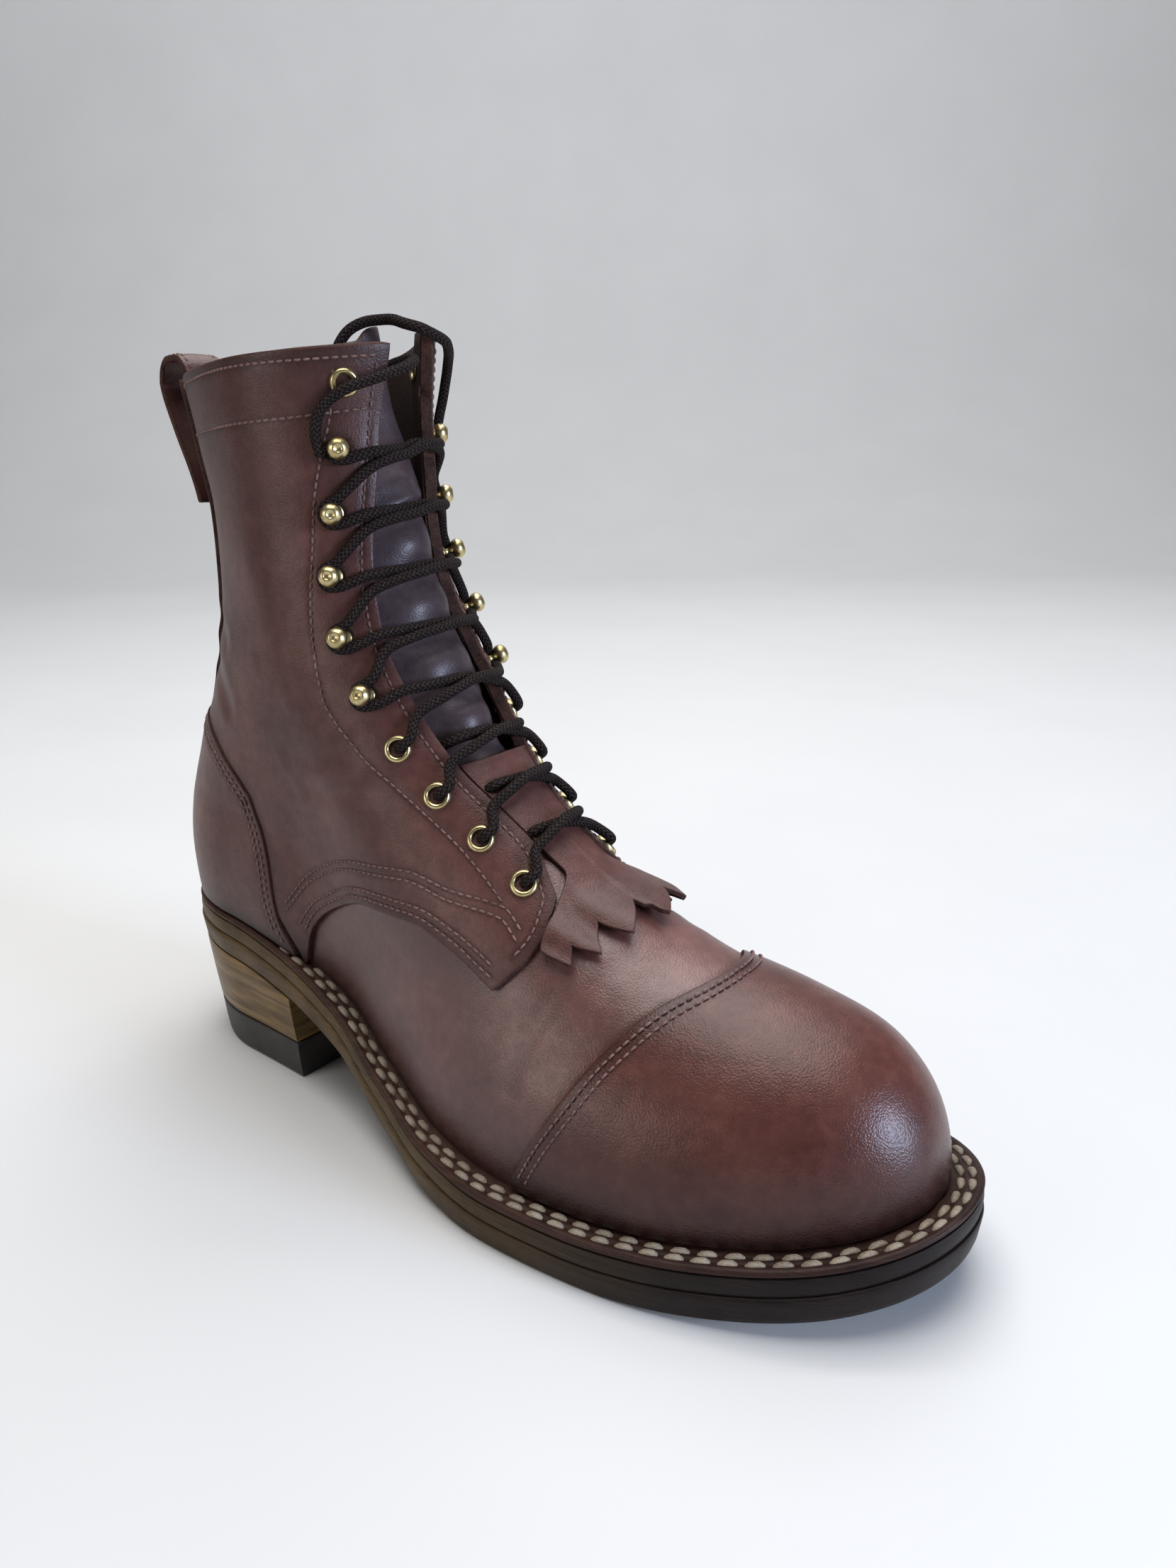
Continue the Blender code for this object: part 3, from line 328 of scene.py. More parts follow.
def flange_bottom(x):
    return sole_top(x) - FLANGE_THICKNESS


def midsole_top(x):
    return flange_bottom(x) - GAP


def midsole_bottom(x):
    return midsole_top(x) - MIDSOLE_THICKNESS


def outsole_top(x):
    return midsole_bottom(x) - GAP


def outline(x, inset, heel_inset, toe_inset):
    """Half width of the sole's outline, moved in by the insets."""
    body = curve(SOLE, 1, x) - inset
    heel = rounded(x - heel_inset, HEEL_ROUND - heel_inset)
    toe = rounded(LENGTH - toe_inset - x, TOE_ROUND - toe_inset, TOE_POWER)
    return body * heel * toe


def footprint_middle():
    """Middle of the sole's footprint in the frame of the last."""
    x = np.linspace(0, LENGTH, 2001)
    half = outline(x, 0.0, 0.0, 0.0)
    return np.array([LENGTH / 2, (np.max(centre(x) + half) + np.min(centre(x) - half)) / 2, 0])


ORIGIN = footprint_middle()


def world(points):
    """Points of the last in the part's frame, in metres."""
    return (np.asarray(points, float) - ORIGIN) * MM


def feather(x):
    """Height of the line where the upper meets the flange."""
    return sole_top(x) + FEATHER_GAP


FRONT[0, 2] = feather(FRONT[0, 1])
BACK[0, 2] = feather(BACK[0, 1])
RIDGE_STEPS = np.linspace(0, 1, 2001)
RIDGE_X = curve(FRONT, 1, RIDGE_STEPS)
RIDGE_Z = curve(FRONT, 2, RIDGE_STEPS)
SEAM_X = curve(BACK, 1, RIDGE_STEPS)
SEAM_Z = curve(BACK, 2, RIDGE_STEPS)
NARROWEST = int(np.argmin(RIDGE_X))


def crest(x):
    """Height of the front ridge above a place along the foot."""
    return np.interp(x, RIDGE_X[NARROWEST::-1], RIDGE_Z[NARROWEST::-1])


def half_width(x, z):
    """Half width of the boot at a point of its side view."""
    low = feather(x)
    top = np.maximum(crest(x) + 0.02, low + 0.5)
    down = np.clip((top - z) / (top - low), 0, 1)
    foot = np.sqrt(1 - (1 - down) ** curve(FOOT_POWER, 1, x))
    ahead = np.maximum(np.interp(z, RIDGE_Z, RIDGE_X) - x, 0)
    leg = rounded(ahead, curve(LEG, 2, z))
    behind = np.maximum(x - np.interp(z, SEAM_Z, SEAM_X), 0)
    back = np.clip(1 - behind / curve(LEG, 3, z), 0, 1)
    back = (1 - back * back) ** curve(LEG, 4, z)
    toe = rounded(LENGTH - TOE_FLANGE - x, TOE_ROUND - TOE_FLANGE, TOE_POWER)
    bulge = FEATHER_BULGE * np.sin(np.pi * np.clip((z - low) / BULGE_HEIGHT, 0, 1))
    base = curve(SOLE, 1, x) - curve(FLANGE, 1, x) + bulge
    rise = ease(*LEG_RISE, z - low) * (1 - ease(*LEG_FADE, x))
    width = base * (1 - rise) + curve(LEG, 1, z) * rise
    instep = 1 - ease(*INSTEP_FADE, x)
    return width * back * toe * (foot * (1 - instep) + leg * instep)


def side_view(turn, up):
    """Place in the side view for a turn from the back seam (0) to the ridge (pi) and a share up."""
    s = (1 - np.cos(turn)) / 2
    front = np.stack([curve(FRONT, 1, up), curve(FRONT, 2, up)], -1)
    back = np.stack([curve(BACK, 1, up), curve(BACK, 2, up)], -1)
    x = HEEL_FLANGE + (LENGTH - TOE_FLANGE - HEEL_FLANGE) * s
    low = np.stack([x, feather(x)], -1)
    s = s[..., None]
    up = up[..., None]
    corner_low = BACK[0, 1:] * (1 - s) + FRONT[0, 1:] * s
    corner_high = BACK[-1, 1:] * (1 - s) + FRONT[-1, 1:] * s
    high = corner_high - np.concatenate([0 * s, COLLAR_DIP * np.sin(np.pi * s)], -1)
    across = back * (1 - s) + front * s
    return across + (low - corner_low) * (1 - up) + (high - corner_high) * up


def skin(turn, up, pinched=1.0):
    """Outer surface of the boot: turn is negative on the outer side, positive on the inner.

    Above the ankle the front of the inner side is drawn back and in by the pinch.
    """
    turn, up = np.broadcast_arrays(np.asarray(turn, float), np.asarray(up, float))
    turn = (turn + np.pi) % (2 * np.pi) - np.pi
    side = np.where(turn < 0, -1.0, 1.0)
    at = side_view(np.abs(turn), up)
    x = at[..., 0]
    y = half_width(x, at[..., 1]) * (np.abs(np.sin(turn)) > 1e-9)
    s = (1 - np.cos(turn)) / 2
    tilt = side * COLLAR_TILT * s ** 2 * up ** 4 * np.abs(np.sin(turn)) ** 0.25
    z = at[..., 1]
    ahead = np.interp(z, RIDGE_Z, RIDGE_X) - x
    pinch = pinched * (side > 0) * ease(*PINCH_RISE, z)
    pinch = pinch * ease(*PINCH_NEAR, ahead) * (1 - ease(*PINCH_FAR, ahead))
    y = centre(x) + side * (y - PINCH_IN * pinch)
    return np.stack([x - PINCH_BACK * pinch, y, z + tilt], -1)


def normals(turn, up, pinched=1.0):
    """Outward normals of the skin, level at the feather line."""
    step_turn = 0.03
    step_up = 0.002
    low = np.clip(up - step_up, 0, 1)
    high = np.clip(up + step_up, 0, 1)
    around = skin(turn + step_turn, up, pinched) - skin(turn - step_turn, up, pinched)
    along = skin(turn, high, pinched) - skin(turn, low, pinched)
    n = np.cross(along, around)
    n[..., 2] *= ease(0, LEVEL_FOOT, up)
    return unit(n)


def raised(turn, up, height):
    """Points at a height over the skin."""
    turn, up = np.broadcast_arrays(np.asarray(turn, float), np.asarray(up, float))
    return skin(turn, up) + normals(turn, up) * np.asarray(height, float)[..., None]


def turn_at(x, z):
    """Turn and share up of points of the side view, found by stepping towards them."""
    turn = np.full(np.shape(x), 1.6)
    up = np.full(np.shape(x), 0.3)
    goal = np.stack([x, z], -1)
    h = 1e-4
    for _ in range(40):
        here = side_view(turn, up)
        by_turn = (side_view(turn + h, up) - here) / h
        by_up = (side_view(turn, up + h) - here) / h
        miss = goal - here
        area = by_turn[..., 0] * by_up[..., 1] - by_turn[..., 1] * by_up[..., 0]
        area = np.where(np.abs(area) < 1e-6, 1e-6, area)
        step_turn = (miss[..., 0] * by_up[..., 1] - miss[..., 1] * by_up[..., 0]) / area
        step_up = (by_turn[..., 0] * miss[..., 1] - by_turn[..., 1] * miss[..., 0]) / area
        turn = np.clip(turn + np.clip(step_turn, -0.3, 0.3), 0.01, np.pi - 0.01)
        up = np.clip(up + np.clip(step_up, -0.1, 0.1), 0, 0.995)
    return turn, up


def smooth_path(points, count):
    """Evenly spaced points on a smooth curve through a few points."""
    points = np.asarray(points, float)
    t = run_along(points)
    table = np.column_stack([t, points])
    fine = np.linspace(0, t[-1], 600)
    path = np.stack([curve(table, k + 1, fine) for k in range(points.shape[1])], -1)
    return evenly(path, count)


def evenly(path, count):
    """The same line with evenly spaced points."""
    run = run_along(path)
    even = np.linspace(0, run[-1], count)
    return np.stack([np.interp(even, run, path[:, k]) for k in range(path.shape[1])], -1)


def edge_on_skin(points, count):
    """Turn and share up along a panel edge given in the side view, evenly spaced on the skin."""
    path = smooth_path(points, 160)
    turn, up = turn_at(path[:, 0], path[:, 1])
    return np.stack(spread(turn, up, count), -1)


def spread(turn, up, count):
    """Turn and share up of evenly spaced points on a line over the skin."""
    run = run_along(skin(turn, up))
    even = np.linspace(0, run[-1], count)
    return np.interp(even, run, turn), np.interp(even, run, up)


def turn_from_ridge(up, distance):
    """Turn at a distance over the surface of the outer side from the front ridge."""
    turns = np.linspace(np.pi, 1.2, 600)
    points = skin(-turns, np.full_like(turns, up))
    return np.interp(distance, run_along(points), turns)


def across_front(distance, up):
    """Signed turn for a signed distance from the front ridge, negative on the outer side."""
    turn = np.array([turn_from_ridge(u, d) for d, u in zip(np.abs(distance), up)])
    return np.where(np.asarray(distance) < 0, -turn, turn)


def front_grid(distances, ups):
    """Turns of a sheet across the front ridge: a row of distances for each share up."""
    turn = np.array([np.where(row < 0, -1, 1) * turn_from_ridge(u, np.abs(row))
                     for row, u in zip(distances, ups)])
    up = np.broadcast_to(np.asarray(ups)[:, None], turn.shape)
    return turn, up


def lacing_rows(side):
    """Turn and share up of the lacing points on one side, evenly spaced over the surface."""
    up = np.linspace(ROW_FIRST, ROW_LAST, 60)
    turn = np.array([turn_from_ridge(u, curve(FACING, 1, u) + ROW_SETBACK) for u in up]) * side
    return spread(turn, up, ROWS)


class Surface:
    """A material with one shader and the nodes that feed it."""

    def __init__(self, name, **sockets):
        self.material = bpy.data.materials.new(name)
        self.material.use_nodes = True
        self.tree = self.material.node_tree
        self.shader = self.tree.nodes["Principled BSDF"]
        self.finish(**sockets)

    def set(self, node, socket, value):
        if isinstance(value, bpy.types.NodeSocket):
            self.tree.links.new(value, node.inputs[socket])
        else:
            node.inputs[socket].default_value = value

    def add(self, kind, sockets, out=0, **settings):
        """New node with its settings and inputs; gives one of its outputs."""
        node = self.tree.nodes.new("ShaderNode" + kind)
        for key, value in settings.items():
            setattr(node, key, value)
        for socket, value in sockets.items():
            self.set(node, socket, value)
        return node.outputs[out]

    def place(self):
        return self.add("TexCoord", {}, "Object")

    def axis(self, vector, name):
        return self.add("SeparateXYZ", {"Vector": vector}, name)

    def stretched(self, vector, scale):
        return self.add("Mapping", {"Vector": vector, "Scale": scale})

    def noise(self, vector, scale, detail=3.0, roughness=0.55):
        return self.add("TexNoise", {"Vector": vector, "Scale": scale, "Detail": detail,
                                     "Roughness": roughness})

    def cells(self, vector, scale, feature="F1"):
        return self.add("TexVoronoi", {"Vector": vector, "Scale": scale}, "Distance", feature=feature)

    def math(self, operation, a, b=0.0, c=0.0):
        return self.add("Math", {0: a, 1: b, 2: c}, operation=operation)

    def blend(self, a, share_a, b, share_b):
        """Sum of two values, each times its share."""
        return self.math("MULTIPLY_ADD", a, share_a, self.math("MULTIPLY", b, share_b))

    def mix(self, factor, first, second, **settings):
        """Mix of two colours."""
        return self.add("Mix", {0: factor, 6: first, 7: second}, 2, data_type="RGBA", **settings)

    def ramp(self, value, *stops):
        """Colour ramp through (place, colour) stops."""
        node = self.tree.nodes.new("ShaderNodeValToRGB")
        self.set(node, "Fac", value)
        ramp = node.color_ramp
        while len(ramp.elements) < len(stops):
            ramp.elements.new(0.5)
        for element, (at, colour) in zip(ramp.elements, stops):
            element.position = at
            element.color = (*colour, 1)
        return node.outputs[0]

    def between(self, value, low, high):
        """Value from 0 to 1 spread between two numbers."""
        return self.add("MapRange", {"Value": value, "To Min": low, "To Max": high})

    def shaded(self, colour):
        """Colour times the mesh's own shade: burnished edges, painted shade and painted highlight."""
        shade = self.add("Attribute", {}, "Fac", attribute_name="shade")
        return self.mix(1.0, colour, shade, blend_type="MULTIPLY")

    def bump(self, height, distance, strength=1.0, under=None):
        sockets = {"Height": height, "Distance": distance, "Strength": strength}
        if under is not None:
            sockets["Normal"] = under
        return self.add("Bump", sockets)

    def finish(self, **sockets):
        for socket, value in sockets.items():
            self.set(self.shader, socket.replace("_", " "), value)
        return self.material


def leather(name, dark, mid, light, rough, grain=1.0, specular=0.26):
    """Smooth oiled leather: cloudy colour, fine pebbled grain, pores and a soft gloss."""
    s = Surface(name, Coat_Weight=0.03, Coat_Roughness=0.32, Specular_IOR_Level=specular)
    at = s.place()
    cloud = s.noise(at, 34, 5.0, 0.6)
    mottle = s.noise(at, 260, 4.0, 0.6)
    both = s.blend(mottle, 0.4, cloud, 0.6)
    colour = s.ramp(both, (0.30, dark), (0.52, mid), (0.74, light))
    pebble = s.cells(at, 1900, "SMOOTH_F1")
    pore = s.noise(at, 2600, 2.0, 0.5)
    wave = s.noise(at, 140, 3.0, 0.5)
    height = s.blend(pore, 0.5, pebble, -0.8)
    normal = s.bump(wave, 0.0006, 0.10)
    normal = s.bump(height, 0.0002 * grain, 0.6, normal)
    gloss = s.between(both, rough + 0.09, rough - 0.07)
    return s.finish(Base_Color=s.shaded(colour), Roughness=gloss, Normal=normal)


def fibrous(name, dark, light, ends, fine, coarse, share, bump, rough, specular=0.5):
    """Dry finish: fine fibres over slow patches, in colour and in height."""
    s = Surface(name, Roughness=rough, Specular_IOR_Level=specular)
    at = s.place()
    fibre = s.noise(at, *fine)
    tone = s.blend(fibre, share, s.noise(at, *coarse), 1 - share)
    colour = s.ramp(tone, (ends[0], dark), (ends[1], light))
    return s.finish(Base_Color=colour, Normal=s.bump(fibre, *bump))


def sole_finish(name, dark, light, waist_dark, waist_light, rough):
    """Waxed sole edge with fine scratches along it, worn to a paler brown behind the ball of the foot."""
    s = Surface(name, Specular_IOR_Level=0.14)
    at = s.place()
    along = s.stretched(at, (60, 60, 1600))
    line = s.noise(along, 1.0, 3.0, 0.6)
    cloud = s.noise(at, 60, 4.0, 0.6)
    both = s.blend(line, 0.5, cloud, 0.5)
    toe = s.ramp(both, (0.35, dark), (0.68, light))
    waist = s.ramp(both, (0.35, waist_dark), (0.68, waist_light))
    ahead = s.math("MULTIPLY_ADD", cloud, 0.06, s.axis(at, "X"))
    ahead = s.add("MapRange", {"Value": ahead, "From Min": 0.02, "From Max": 0.13})
    colour = s.mix(ahead, waist, toe)
    speck = s.noise(at, 900, 3.0, 0.6)
    normal = s.bump(speck, 0.0002, 0.5, s.bump(line, 0.0002, 0.4))
    gloss = s.between(cloud, rough + 0.12, rough - 0.08)
    return s.finish(Base_Color=colour, Roughness=gloss, Normal=normal)


LAYERS_PER_METRE = 190.0


def heel_finish(name, dark, light):
    """Stacked leather: thin layers seen on edge, polished over."""
    s = Surface(name, Coat_Weight=0.04, Coat_Roughness=0.28, Specular_IOR_Level=0.22)
    at = s.place()
    wander = s.noise(at, 30, 3.0, 0.5)
    tooth = s.math("FRACT", s.blend(wander, 0.35, s.axis(at, "Z"), LAYERS_PER_METRE))
    seam = s.math("GREATER_THAN", s.math("ABSOLUTE", s.math("SUBTRACT", tooth, 0.5)), 0.46)
    cloud = s.noise(s.stretched(at, (40, 40, 420)), 1.0, 5.0, 0.6)
    tone = s.math("SUBTRACT", cloud, s.math("MULTIPLY", seam, 0.12))
    colour = s.ramp(tone, (0.30, dark), (0.70, light))
    height = s.math("SUBTRACT", s.noise(at, 500, 3.0), s.math("MULTIPLY", seam, 0.6))
    normal = s.bump(height, 0.00025, 0.4)
    return s.finish(Base_Color=colour, Roughness=s.between(cloud, 0.46, 0.30), Normal=normal)


def rubber_finish(name):
    s = Surface(name)
    at = s.place()
    cloud = s.noise(at, 70, 4.0, 0.6)
    speck = s.noise(at, 1300, 2.0, 0.5)
    colour = s.ramp(cloud, (0.35, (0.010, 0.009, 0.008)), (0.70, (0.024, 0.021, 0.018)))
    return s.finish(Base_Color=colour, Roughness=s.between(cloud, 0.62, 0.48),
                    Normal=s.bump(speck, 0.0002, 0.5))


def brass_finish(name):
    s = Surface(name, Metallic=1.0)
    at = s.place()
    tarnish = s.noise(at, 420, 4.0, 0.6)
    scratch = s.noise(at, 2600, 2.0, 0.5)
    colour = s.ramp(tarnish, (0.30, (0.34, 0.26, 0.12)), (0.60, (0.56, 0.47, 0.25)),
                    (0.85, (0.70, 0.62, 0.40)))
    return s.finish(Base_Color=colour, Roughness=s.between(tarnish, 0.40, 0.24),
                    Normal=s.bump(scratch, 0.00006, 0.4))


def lace_finish(name):
    """Braided cord: two families of strands that meet in rows of small chevrons."""
    s = Surface(name, Specular_IOR_Level=0.12)
    uv = s.add("TexCoord", {}, "UV")
    around = s.axis(uv, "X")
    chevron = s.math("PINGPONG", s.math("MULTIPLY", around, 6.0), 0.5)
    along = s.blend(s.axis(uv, "Y"), 0.62, chevron, 1.5)
    strand = s.math("SINE", s.math("MULTIPLY", along, 6.2832))
    valley = s.math("PINGPONG", s.math("MULTIPLY", around, 12.0), 0.5)
    height = s.blend(strand, 0.5, valley, 0.7)
    fuzz = s.noise(s.place(), 2600, 3.0, 0.6)
    # Painted shade and highlight on the braid: the strands' crests lighter and the hollows between them
    # darker, over the fibres' own tone
    tone = s.math("MULTIPLY_ADD", fuzz, 0.55, s.math("MULTIPLY_ADD", strand, 0.2, 0.2))
    colour = s.ramp(tone, (0.22, (0.004, 0.003, 0.003)), (0.50, (0.020, 0.013, 0.012)),
                    (0.80, (0.068, 0.046, 0.040)))
    normal = s.bump(fuzz, 0.0004, 0.7, s.bump(height, 0.0009, 1.0))
    return s.finish(Base_Color=colour, Roughness=s.between(fuzz, 0.9, 0.75), Normal=normal)


def thread_finish(name, dark, light):
    return fibrous(name, dark, light, (0.32, 0.68), (1800, 2.0, 0.5), (90, 3.0, 0.6), 0.45,
                   (0.0003, 0.6), 0.6)


BROWN = ((0.041, 0.014, 0.011), (0.078, 0.030, 0.025), (0.123, 0.052, 0.043))
CAP_BROWN = ((0.044, 0.013, 0.010), (0.084, 0.028, 0.022), (0.130, 0.050, 0.038))
# Tongue leather: dark brown with a violet cast that stands in for a painted bluish sheen
TONGUE_BROWN_AND_PAINTED_SHEEN = ((0.027, 0.017, 0.019), (0.050, 0.033, 0.037), (0.084, 0.060, 0.066))
INSOLE_TAN = ((0.12, 0.065, 0.038), (0.20, 0.115, 0.07), (0.27, 0.16, 0.10))
LEATHER = leather("boot_leather", *BROWN, 0.38)
VAMP_LEATHER = leather("vamp_leather", *BROWN, 0.36, specular=0.55)
CAP_LEATHER = leather("cap_leather", *CAP_BROWN, 0.29, specular=0.30)
TONGUE_LEATHER = leather("tongue_leather", *TONGUE_BROWN_AND_PAINTED_SHEEN, 0.36, grain=0.8)
INSOLE_LEATHER = leather("insole_leather", *INSOLE_TAN, 0.62)
EDGE = fibrous("cut_edge", (0.020, 0.010, 0.008), (0.085, 0.042, 0.032), (0.36, 0.66),
               (900, 5.0, 0.7), (160, 3.0, 0.6), 0.6, (0.0005, 0.8), 0.9, 0.15)
LINING = fibrous("lining", (0.010, 0.006, 0.005), (0.036, 0.021, 0.018), (0.32, 0.70),
                 (1100, 4.0, 0.65), (40, 4.0, 0.6), 0.5, (0.0004, 0.5), 0.85, 0.15)
SOLE_EDGE = sole_finish("sole_edge", (0.005, 0.0035, 0.003), (0.018, 0.011, 0.010),
                        (0.034, 0.021, 0.009), (0.118, 0.074, 0.031), 0.44)
WELT_EDGE = sole_finish("welt_edge", (0.014, 0.006, 0.005), (0.042, 0.020, 0.015),
                        (0.022, 0.010, 0.007), (0.070, 0.033, 0.024), 0.44)
HEEL = heel_finish("heel_stack", (0.060, 0.035, 0.011), (0.205, 0.124, 0.042))
RUBBER = rubber_finish("toplift")
BRASS = brass_finish("brass")
LACE = lace_finish("lace")
THREAD = thread_finish("seam_thread", (0.060, 0.027, 0.023), (0.20, 0.105, 0.088))
WELT_THREAD = thread_finish("welt_thread", (0.10, 0.075, 0.052), (0.30, 0.25, 0.19))
# Near-black colour of the discs in the eyelets' holes: painted shade
HOLE_SHADE = rubber_finish("painted_hole_shade")


def piece(name, points, faces, finishes, numbers=None, uv=None, shade=None, nodes=(),
          sharp=None):
    """Mesh piece of the boot, from points in the frame of the last, riding on the one body."""
    mesh = bpy.data.meshes.new(name)
    points = world(points)
    mesh.from_pydata(points.tolist(), [], [list(map(int, face)) for face in faces])
    for finish in finishes:
        mesh.materials.append(finish)
    if numbers is not None:
        mesh.polygons.foreach_set("material_index", np.asarray(numbers, np.int32))
    mesh.shade_smooth()
    if sharp is not None:
        mesh.set_sharp_from_angle(angle=np.radians(sharp))
    corner = np.empty(len(mesh.loops), np.int32)
    mesh.loops.foreach_get("vertex_index", corner)
    if uv is not None:
        layer = mesh.uv_layers.new(name="UVMap")
        layer.data.foreach_set("uv", np.asarray(uv, np.float32)[corner].ravel())
    tone = np.ones(len(points), np.float32) if shade is None else np.asarray(shade, np.float32)
    mesh.attributes.new("shade", "FLOAT", "POINT").data.foreach_set("value", tone)
    made = bpy.data.objects.new(name, mesh)
    bpy.context.scene.collection.objects.link(made)
    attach(made, "root")
    if nodes:
        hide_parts(*nodes)
    return made


def grid_faces(rows, columns, wrap=False, first=0):
    """Squares of a grid of points; wrap joins the last column to the first."""
    last = columns if wrap else columns - 1
    i, j = np.meshgrid(np.arange(rows - 1), np.arange(last), indexing="ij")
    a = i * columns + j
    b = i * columns + (j + 1) % columns
    return np.stack([a, b, b + columns, a + columns], -1).reshape(-1, 4) + first


def inside_out(points, faces, out):
    """Whether the middle one of the faces has its back to the outward direction there."""
    middle = faces[len(faces) // 2]
    corner = points[middle]
    front = np.cross(corner[1] - corner[0], corner[2] - corner[0])
    return np.dot(front, out[middle[0]]) < 0


def grid_normals(points, outward):
    """Normals of a grid of points, on the side of the outward directions."""
    n = unit(np.cross(np.gradient(points, axis=0), np.gradient(points, axis=1)))
    if np.sum(n * outward) < 0:
        n = -n
    weak = np.linalg.norm(n, axis=-1, keepdims=True) < 0.5
    return np.where(weak, outward, n)


def border(rows, columns):
    """Numbers of a grid's border points in order, and of the points just inside them."""
    number = np.arange(rows * columns).reshape(rows, columns)
    loop = np.concatenate([number[0, :-1], number[:-1, -1], number[-1, :0:-1], number[:0:-1, 0]])
    inside = np.concatenate([number[1, :-1], number[:-1, -2], number[-2, :0:-1], number[:0:-1, 1]])
    inside[0] = number[1, 1]
    inside[columns - 1] = number[1, -2]
    inside[columns + rows - 2] = number[-2, -2]
    inside[2 * columns + rows - 3] = number[-2, 1]
    return loop, inside


def sheet(top, outward, thickness, round_off, deep=None):
    """Sheet of leather from the grid of its top, with a rounded cut edge all round.

    The edge runs deep below the top where the sheet lies on another; without deep it has an underside.
    The faces are numbered 0 on top, 1 on the cut edge and 2 underneath.
    """
    rows, columns = top.shape[:2]
    up = grid_normals(top, outward)
    up = np.where(np.sum(up * outward, -1, keepdims=True) > 0.6, up, outward)
    points = top.reshape(-1, 3)
    n = up.reshape(-1, 3)
    loop, inside = border(rows, columns)
    tangent = points[np.roll(loop, -1)] - points[np.roll(loop, 1)]
    out = unit(np.cross(tangent, n[loop]))
    out = out * np.sign(np.sum(out * (points[loop] - points[inside])))
    profile = [(round_off * np.sin(a), round_off * (1 - np.cos(a))) for a in EDGE_ANGLES]
    if deep is None:
        profile += [(aside, thickness - drop) for aside, drop in profile[::-1]]
    else:
        profile.append((round_off, deep))
    rings = [points[loop] + out * o - n[loop] * d for o, d in profile]
    faces = [grid_faces(rows, columns)]
    numbers = [np.zeros(len(faces[0]), int)]
    flip = inside_out(points, faces[0], n)
    count = len(loop)
    before = loop
    total = len(points)
    for k in range(len(rings)):
        here = total + np.arange(count)
        faces.append(np.stack([np.roll(before, -1), before, here, np.roll(here, -1)], -1))
        numbers.append(np.full(count, 0 if k < 1 else 1))
        before = here
        total += count
    body = [points] + rings
    if deep is None:
        under = total + np.arange(rows * columns)
        body.append(points - n * thickness)
        faces.append(np.stack([np.roll(before, -1), before, under[loop], np.roll(under[loop], -1)], -1))
        numbers.append(np.ones(count, int))
        faces.append(grid_faces(rows, columns, first=total)[:, ::-1])
        numbers.append(np.full((rows - 1) * (columns - 1), 2))
    faces = np.concatenate(faces)
    if flip:
        faces = faces[:, ::-1]
    return np.concatenate(body), faces, np.concatenate(numbers)


def tree_of(points):
    """Search tree over points."""
    tree = KDTree(len(points))
    for k, place in enumerate(points):
        tree.insert(place, k)
    tree.balance()
    return tree


def nearest(points, line):
    """Distance of points from the nearest of a line's points."""
    tree = tree_of(line)
    return np.array([tree.find(p)[2] for p in points.reshape(-1, 3)]).reshape(points.shape[:-1])


# Soft creases: side (-1 outer, 1 inner, 0 both), depth, width, x and z along it
CREASES = (
    (0, 0.36, 3.6, ((20, 152), (34, 150), (48, 146), (60, 139))),
    (0, 0.29, 3.4, ((22, 166), (38, 165), (54, 161))),
    (0, 0.33, 3.6, ((141, 141), (128, 137), (112, 131), (97, 128))),
    (0, 0.29, 3.2, ((148, 128), (134, 123), (118, 119), (104, 118))),
    (0, 0.23, 3.2, ((133, 158), (120, 154), (104, 151))),
    (0, 0.29, 3.4, ((206, 84), (203, 72), (199, 60), (196, 47))),
    (0, 0.23, 3.0, ((214, 80), (211, 68), (206, 54))),
    (-1, 0.20, 3.0, ((86, 160), (97, 170), (101, 182))),
    (1, 0.20, 3.0, ((70, 150), (84, 158), (92, 170))))


def relief(points):
    """Slow swell of the leather and its creases, in millimetres over the skin."""
    x = points[..., 0]
    y = points[..., 1] - centre(x)
    z = points[..., 2]
    swell = 0.13 * np.sin(x / 9.5 + z / 15 + 1.3 * np.sin(y / 17)) * np.sin(z / 12 - x / 33 + 0.7)
    swell = swell + 0.05 * np.sin(x / 5.1 - z / 6.3 + y / 9)
    for side, depth, width, route in CREASES:
        path = smooth_path(route, 50)
        near = np.full(x.shape, 1e9)
        for a, b in path:
            near = np.minimum(near, (x - a) ** 2 + (z - b) ** 2)
        near = np.sqrt(near)
        shape = np.exp(-(near / width) ** 2) - 0.55 * np.exp(-((near - 1.9 * width) / (0.9 * width)) ** 2)
        here = 1.0 if side == 0 else (y * side > 0)
        swell = swell - depth * shape * here
    toe = ease(235, 285, x) * (1 - ease(5, 13, z - feather(x)))
    angle = np.arctan2(y, x - 225)
    pleat = np.sin(angle * 34 + 1.7 * np.sin(angle * 9)) * (0.6 + 0.4 * np.sin(angle * 13 + 1))
    return swell * ease(0.0, 6.0, z - feather(x)) + 0.28 * toe * pleat * ease(0, 2, z - feather(x))


def under_panels(points):
    """Share, 0 to 1, by which points of the skin lie under the cap or a quarter."""
    x = points[..., 0]
    z = points[..., 2]
    seam = np.array([(height, place) for place, height in CAP_SEAM])
    arch = np.array(QUARTER_ARCH)
    nose = np.array([(height, place) for place, height in QUARTER_NOSE])
    cap = x - curve(seam, 1, z)
    above = np.where(x < arch[0, 0], SINK_RUN, z - curve(arch, 1, x))
    quarter = np.minimum(above, curve(nose, 1, z) - x)
    return np.maximum(ease(-2, SINK_RUN, cap), ease(-2, SINK_RUN, quarter))


# Panels as grids of turn and share up; the first row of each grid is a sewn edge
QUARTER_STEPS = 10
QUARTER_ROWS = 112


